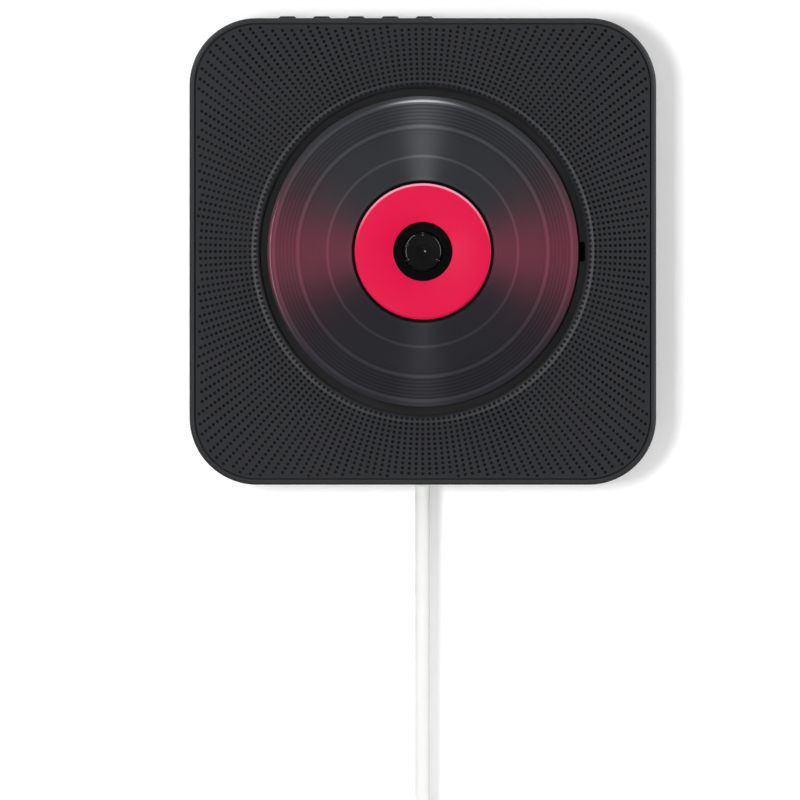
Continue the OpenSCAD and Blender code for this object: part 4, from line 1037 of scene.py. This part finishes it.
def label_ink_and_rim_light(c):
    """Printed label: crimson with a breath of mottle, and where its rim rounds off a painted
    highlight above and painted shade below."""
    material, tree, sockets = new_finish("label_crimson", Specular_IOR_Level=0.05)
    base = mix_colours(tree, drift(tree, 240.0, 5.0, 0.16), c.label, scaled(c.label, 0.86))
    rings = use_group(tree, "rings")
    label_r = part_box("disc_label")[1].x
    # Painted light on the label's rounded rim: a painted highlight along its top and painted shade
    # along its bottom
    rim = ramp(tree, rings["Radius"], label_r - 1.25 * MM, label_r - 0.8 * MM)
    rim_highlight = maths(tree, "MULTIPLY", rim, ramp(tree, rings["Up"], 0.1, 1.0))
    base = mix_colours(tree, rim_highlight, base, c.label_rim_highlight)
    rim_shade = maths(tree, "MULTIPLY", rim, ramp(tree, rings["Up"], -0.2, -1.0, most=0.4))
    base = mix_colours(tree, rim_shade, base, scaled(c.label, 0.5))
    paint(tree, sockets, base, 0.35, 0.45)
    grained(tree, sockets, 0.25 * MM, 0.25, 0.006 * MM)
    return material


def coated_lens(c):
    """Pressed clear lens with a faint blue coating."""
    material, tree, sockets = new_finish("lens_glass", Transmission_Weight=0.9, IOR=1.52,
                                         Roughness=0.03, Coat_Weight=0.4, Coat_Roughness=0.05)
    haze = ramp(tree, noise(tree, 500.0, 3.0), 0.4, 0.8, most=0.3)
    tree.links.new(mix_colours(tree, haze, c.lens, (0.7, 0.75, 0.8)), sockets["Base Color"])
    return material


# Moulded finishes: their colour, roughness from low to high, and what else sets them apart
MOULDED = {
    "housing_black": ("housing", 0.48, 0.58, {"Specular_IOR_Level": 0.07}),
    "deck_black": ("well", 0.55, 0.65, {"dust": 0.1}),
    "chassis_black": ("well", 0.4, 0.5, {"relief": 0.01 * MM, "dust": 0.1}),
    "trim_black": ("trim", 0.38, 0.5, {"grain": 0.3 * MM, "relief": 0.012 * MM}),
    "rubber_black": ("rubber", 0.75, 0.88, {"grain": 0.7 * MM, "wear": 0.1,
                                            "Specular_IOR_Level": 0.2}),
    "hub_black": ("hub", 0.1, 0.16, {"relief": 0.0005 * MM, "wear": 0.0, "dust": 0.0,
                                     "Specular_IOR_Level": 0.06}),
    "parts_yellow": ("winding", 0.25, 0.4, {"relief": 0.01 * MM, "Coat_Weight": 0.3}),
    "sled_grey": ("sled", 0.45, 0.55, {}),
    "gear_ivory": ("gear", 0.35, 0.45, {"grain": 0.2 * MM, "relief": 0.008 * MM, "wear": 0.1,
                                        "dust": 0.25, "Subsurface_Weight": 0.1,
                                        "Subsurface_Scale": 1.0 * MM}),
}
# Steels: their share of the bright steel's tone, and roughness from low to high
STEELS = {"bright_steel": (1.0, 0.22, 0.36), "ball_steel": (0.12, 0.3, 0.4),
          "yoke_steel": (0.35, 0.38, 0.5)}
OTHER_FINISHES = {"bracket_steel": bracket_steel, "grille_black": grille_black,
                  "board_green": circuit_board, "cord_white": lead_white, "tie_black": woven_tape,
                  "cone_grey": paper_cone, "disc_black": disc_print_and_sheen, "label_crimson": label_ink_and_rim_light,
                  "lens_glass": coated_lens}
# Parts whose finish differs from that of their slot
OWN_FINISH = {"hub_cap": "hub_black", "hub_balls": "ball_steel", "chassis": "chassis_black",
              "actuator_yoke": "yoke_steel"}
built_finishes = {}


def make_finish(name, c):
    """New material of that name, from its row in one of the tables."""
    if name in MOULDED:
        tone, low, high, own = MOULDED[name]
        return moulded(name, getattr(c, tone), low, high, **own)
    if name in STEELS:
        gain, low, high = STEELS[name]
        return steel(name, scaled(c.steel, gain), low, high)
    return OTHER_FINISHES[name](c)


def finish(name):
    """The material of that name, made on its first use."""
    if name not in built_finishes:
        built_finishes[name] = make_finish(name, bpy.context.scene.player_finish)
    return built_finishes[name]


class PLAYER_OT_finishes(Operator):
    """Finish of every part that keeps its own shape"""

    bl_idname = "player.finishes"
    bl_label = "Finishes"

    def execute(self, context):
        for part in frame["record"]["subparts"]:
            materials = NODES[part["node"]].data.materials
            materials.clear()
            materials.append(finish(OWN_FINISH.get(part["node"], part["material_slot"])))
        return {"FINISHED"}


# ------------------------------------------------------------------------------------------- stage

# Place, width, height and power of the lamps that light, and of those only seen in reflections
LAMPS = {
    "key_light": ((-0.46, -2.2, -0.02), 0.3, 0.3, 26),
    "top_light": ((0.0, -0.9, 1.9), 0.5, 0.5, 3),
    "back_light": ((0.9, 1.8, 0.8), 0.8, 0.8, 36),
}
STRIPS = {
    "left_strip": ((-1.1, -0.8, 0.95), 0.2, 1.5, 100),
    "right_strip": ((1.3, -0.8, 0.45), 0.2, 1.6, 110),
}
# Brightness at which the backdrop shows as plain white
PLAIN_WHITE = 1.09


def backdrop(name, corners):
    """Pale sheet that shows to the camera from its front only, and throws no shadow."""
    mesh = bpy.data.meshes.new(name)
    mesh.from_pydata(corners, [], [(0, 1, 2, 3)])
    sheet = bpy.data.objects.new(name, mesh)
    bpy.context.scene.collection.objects.link(sheet)
    sheet.visible_shadow = False
    return sheet


def seen_directly(tree):
    """1 for rays that come from the camera, a reflection or through glass, and 0 for others."""
    path = put(tree, "ShaderNodeLightPath").outputs
    reflected = maths(tree, "MAXIMUM", path["Is Glossy Ray"], path["Is Transmission Ray"])
    return maths(tree, "MAXIMUM", path["Is Camera Ray"], reflected)


def backdrop_white(c, stage):
    """Matt white that keeps shadows: part of its white is the lamps' light, and the rest is added
    for the rays that see it. From behind it is clear."""
    material = bpy.data.materials.new("backdrop_white")
    material.use_nodes = True
    tree = material.node_tree
    tree.nodes.clear()
    matt = put(tree, "ShaderNodeBsdfDiffuse", {"Color": (*c.wall, 1)}).outputs[0]
    lift = maths(tree, "MULTIPLY", seen_directly(tree), PLAIN_WHITE - stage.wall_light)
    glow = put(tree, "ShaderNodeEmission", {"Strength": lift}).outputs[0]
    front = put(tree, "ShaderNodeAddShader", {0: matt, 1: glow}).outputs[0]
    behind = put(tree, "ShaderNodeNewGeometry").outputs["Backfacing"]
    clear = put(tree, "ShaderNodeBsdfTransparent").outputs[0]
    mixed = put(tree, "ShaderNodeMixShader", {0: behind, 1: front, 2: clear}).outputs[0]
    put(tree, "ShaderNodeOutputMaterial", {"Surface": mixed})
    return material


def light_room(stage):
    """World that lights evenly, and is white to the rays that see it."""
    world = bpy.data.worlds.new("room")
    world.use_nodes = True
    tree = world.node_tree
    tree.nodes.clear()
    strength = ramp(tree, seen_directly(tree), 0.0, 1.0, least=stage.room_light)
    sky = put(tree, "ShaderNodeBackground", {"Color": (1, 1, 1, 1), "Strength": strength})
    put(tree, "ShaderNodeOutputWorld", {"Surface": sky.outputs[0]})
    bpy.context.scene.world = world


def add_lamp(name, place, wide, high, power, lights):
    """Soft box at a place, turned to the player. With lights off it only shows in reflections."""
    light = bpy.data.lights.new(name, "AREA")
    light.shape = "RECTANGLE"
    light.energy = power
    light.size, light.size_y = wide, high
    lamp = bpy.data.objects.new(name, light)
    lamp.location = place
    lamp.rotation_euler = (-Vector(place)).to_track_quat("-Z", "Y").to_euler()
    lamp.visible_camera = False
    lamp.visible_diffuse = lights
    bpy.context.scene.collection.objects.link(lamp)


def add_camera(stage):
    """Camera straight in front, with the photograph's frame at the depth of the player's front."""
    data = bpy.data.cameras.new("camera")
    data.lens = data.sensor_width * stage.camera_far / stage.view_w
    camera = bpy.data.objects.new("camera", data)
    front = cad_box[0].y
    camera.location = (stage.camera_x, front - stage.camera_far, stage.camera_z)
    camera.rotation_euler = (math.pi / 2, 0, 0)
    data.clip_start, data.clip_end = 0.1, 20
    bpy.context.scene.collection.objects.link(camera)
    bpy.context.scene.camera = camera


class PLAYER_OT_stage(Operator):
    """Camera, soft lights, white wall and floor"""

    bl_idname = "player.stage"
    bl_label = "Stage"

    def execute(self, context):
        stage, c = context.scene.player_stage, context.scene.player_finish
        add_camera(stage)
        light_room(stage)
        wide, low, behind = 1.6, -0.7, 0.2 * MM
        wall = backdrop("backdrop_wall", [(-wide, behind, low), (wide, behind, low),
                                          (wide, behind, wide), (-wide, behind, wide)])
        floor = backdrop("backdrop_floor", [(-wide, -2 * wide, low), (wide, -2 * wide, low),
                                            (wide, behind, low), (-wide, behind, low)])
        white = backdrop_white(c, stage)
        for sheet in (wall, floor):
            sheet.data.materials.append(white)
        for lamps, lights in ((LAMPS, True), (STRIPS, False)):
            for name, values in lamps.items():
                add_lamp(name, *values, lights)
        context.scene.view_settings.view_transform = "Standard"
        return {"FINISHED"}


# ------------------------------------------------------------------------------ panel and start up

STEPS = (PLAYER_OT_stage, PLAYER_OT_lead, PLAYER_OT_front_panel, PLAYER_OT_disc,
         PLAYER_OT_return_spring, PLAYER_OT_finishes)
SETTINGS = {"player_panel": PLAYER_PG_panel, "player_disc": PLAYER_PG_disc,
            "player_lead": PLAYER_PG_lead, "player_stage": PLAYER_PG_stage,
            "player_finish": PLAYER_PG_finish}


class PLAYER_PT_sidebar(Panel):
    """Steps and sizes of the disc player"""

    bl_idname = "PLAYER_PT_sidebar"
    bl_label = "Disc player"
    bl_space_type = "VIEW_3D"
    bl_region_type = "UI"
    bl_category = "Disc player"

    def draw(self, context):
        for step in STEPS:
            self.layout.operator(step.bl_idname)
        for name, settings in SETTINGS.items():
            box = self.layout.box()
            box.label(text=settings.__doc__)
            for label in settings.__annotations__:
                box.prop(getattr(context.scene, name), label)


def register():
    for kind in (*SETTINGS.values(), *STEPS, PLAYER_PT_sidebar):
        bpy.utils.register_class(kind)
    for name, settings in SETTINGS.items():
        setattr(bpy.types.Scene, name, PointerProperty(type=settings))


def unregister():
    for name in SETTINGS:
        delattr(bpy.types.Scene, name)
    for kind in (PLAYER_PT_sidebar, *reversed(STEPS), *reversed(SETTINGS.values())):
        bpy.utils.unregister_class(kind)


def main():
    register()
    bpy.ops.player.stage()
    bpy.ops.player.lead()
    bpy.ops.player.front_panel()
    bpy.ops.player.disc()
    bpy.ops.player.return_spring()
    bpy.ops.player.finishes()


if __name__ == "__main__":
    main()
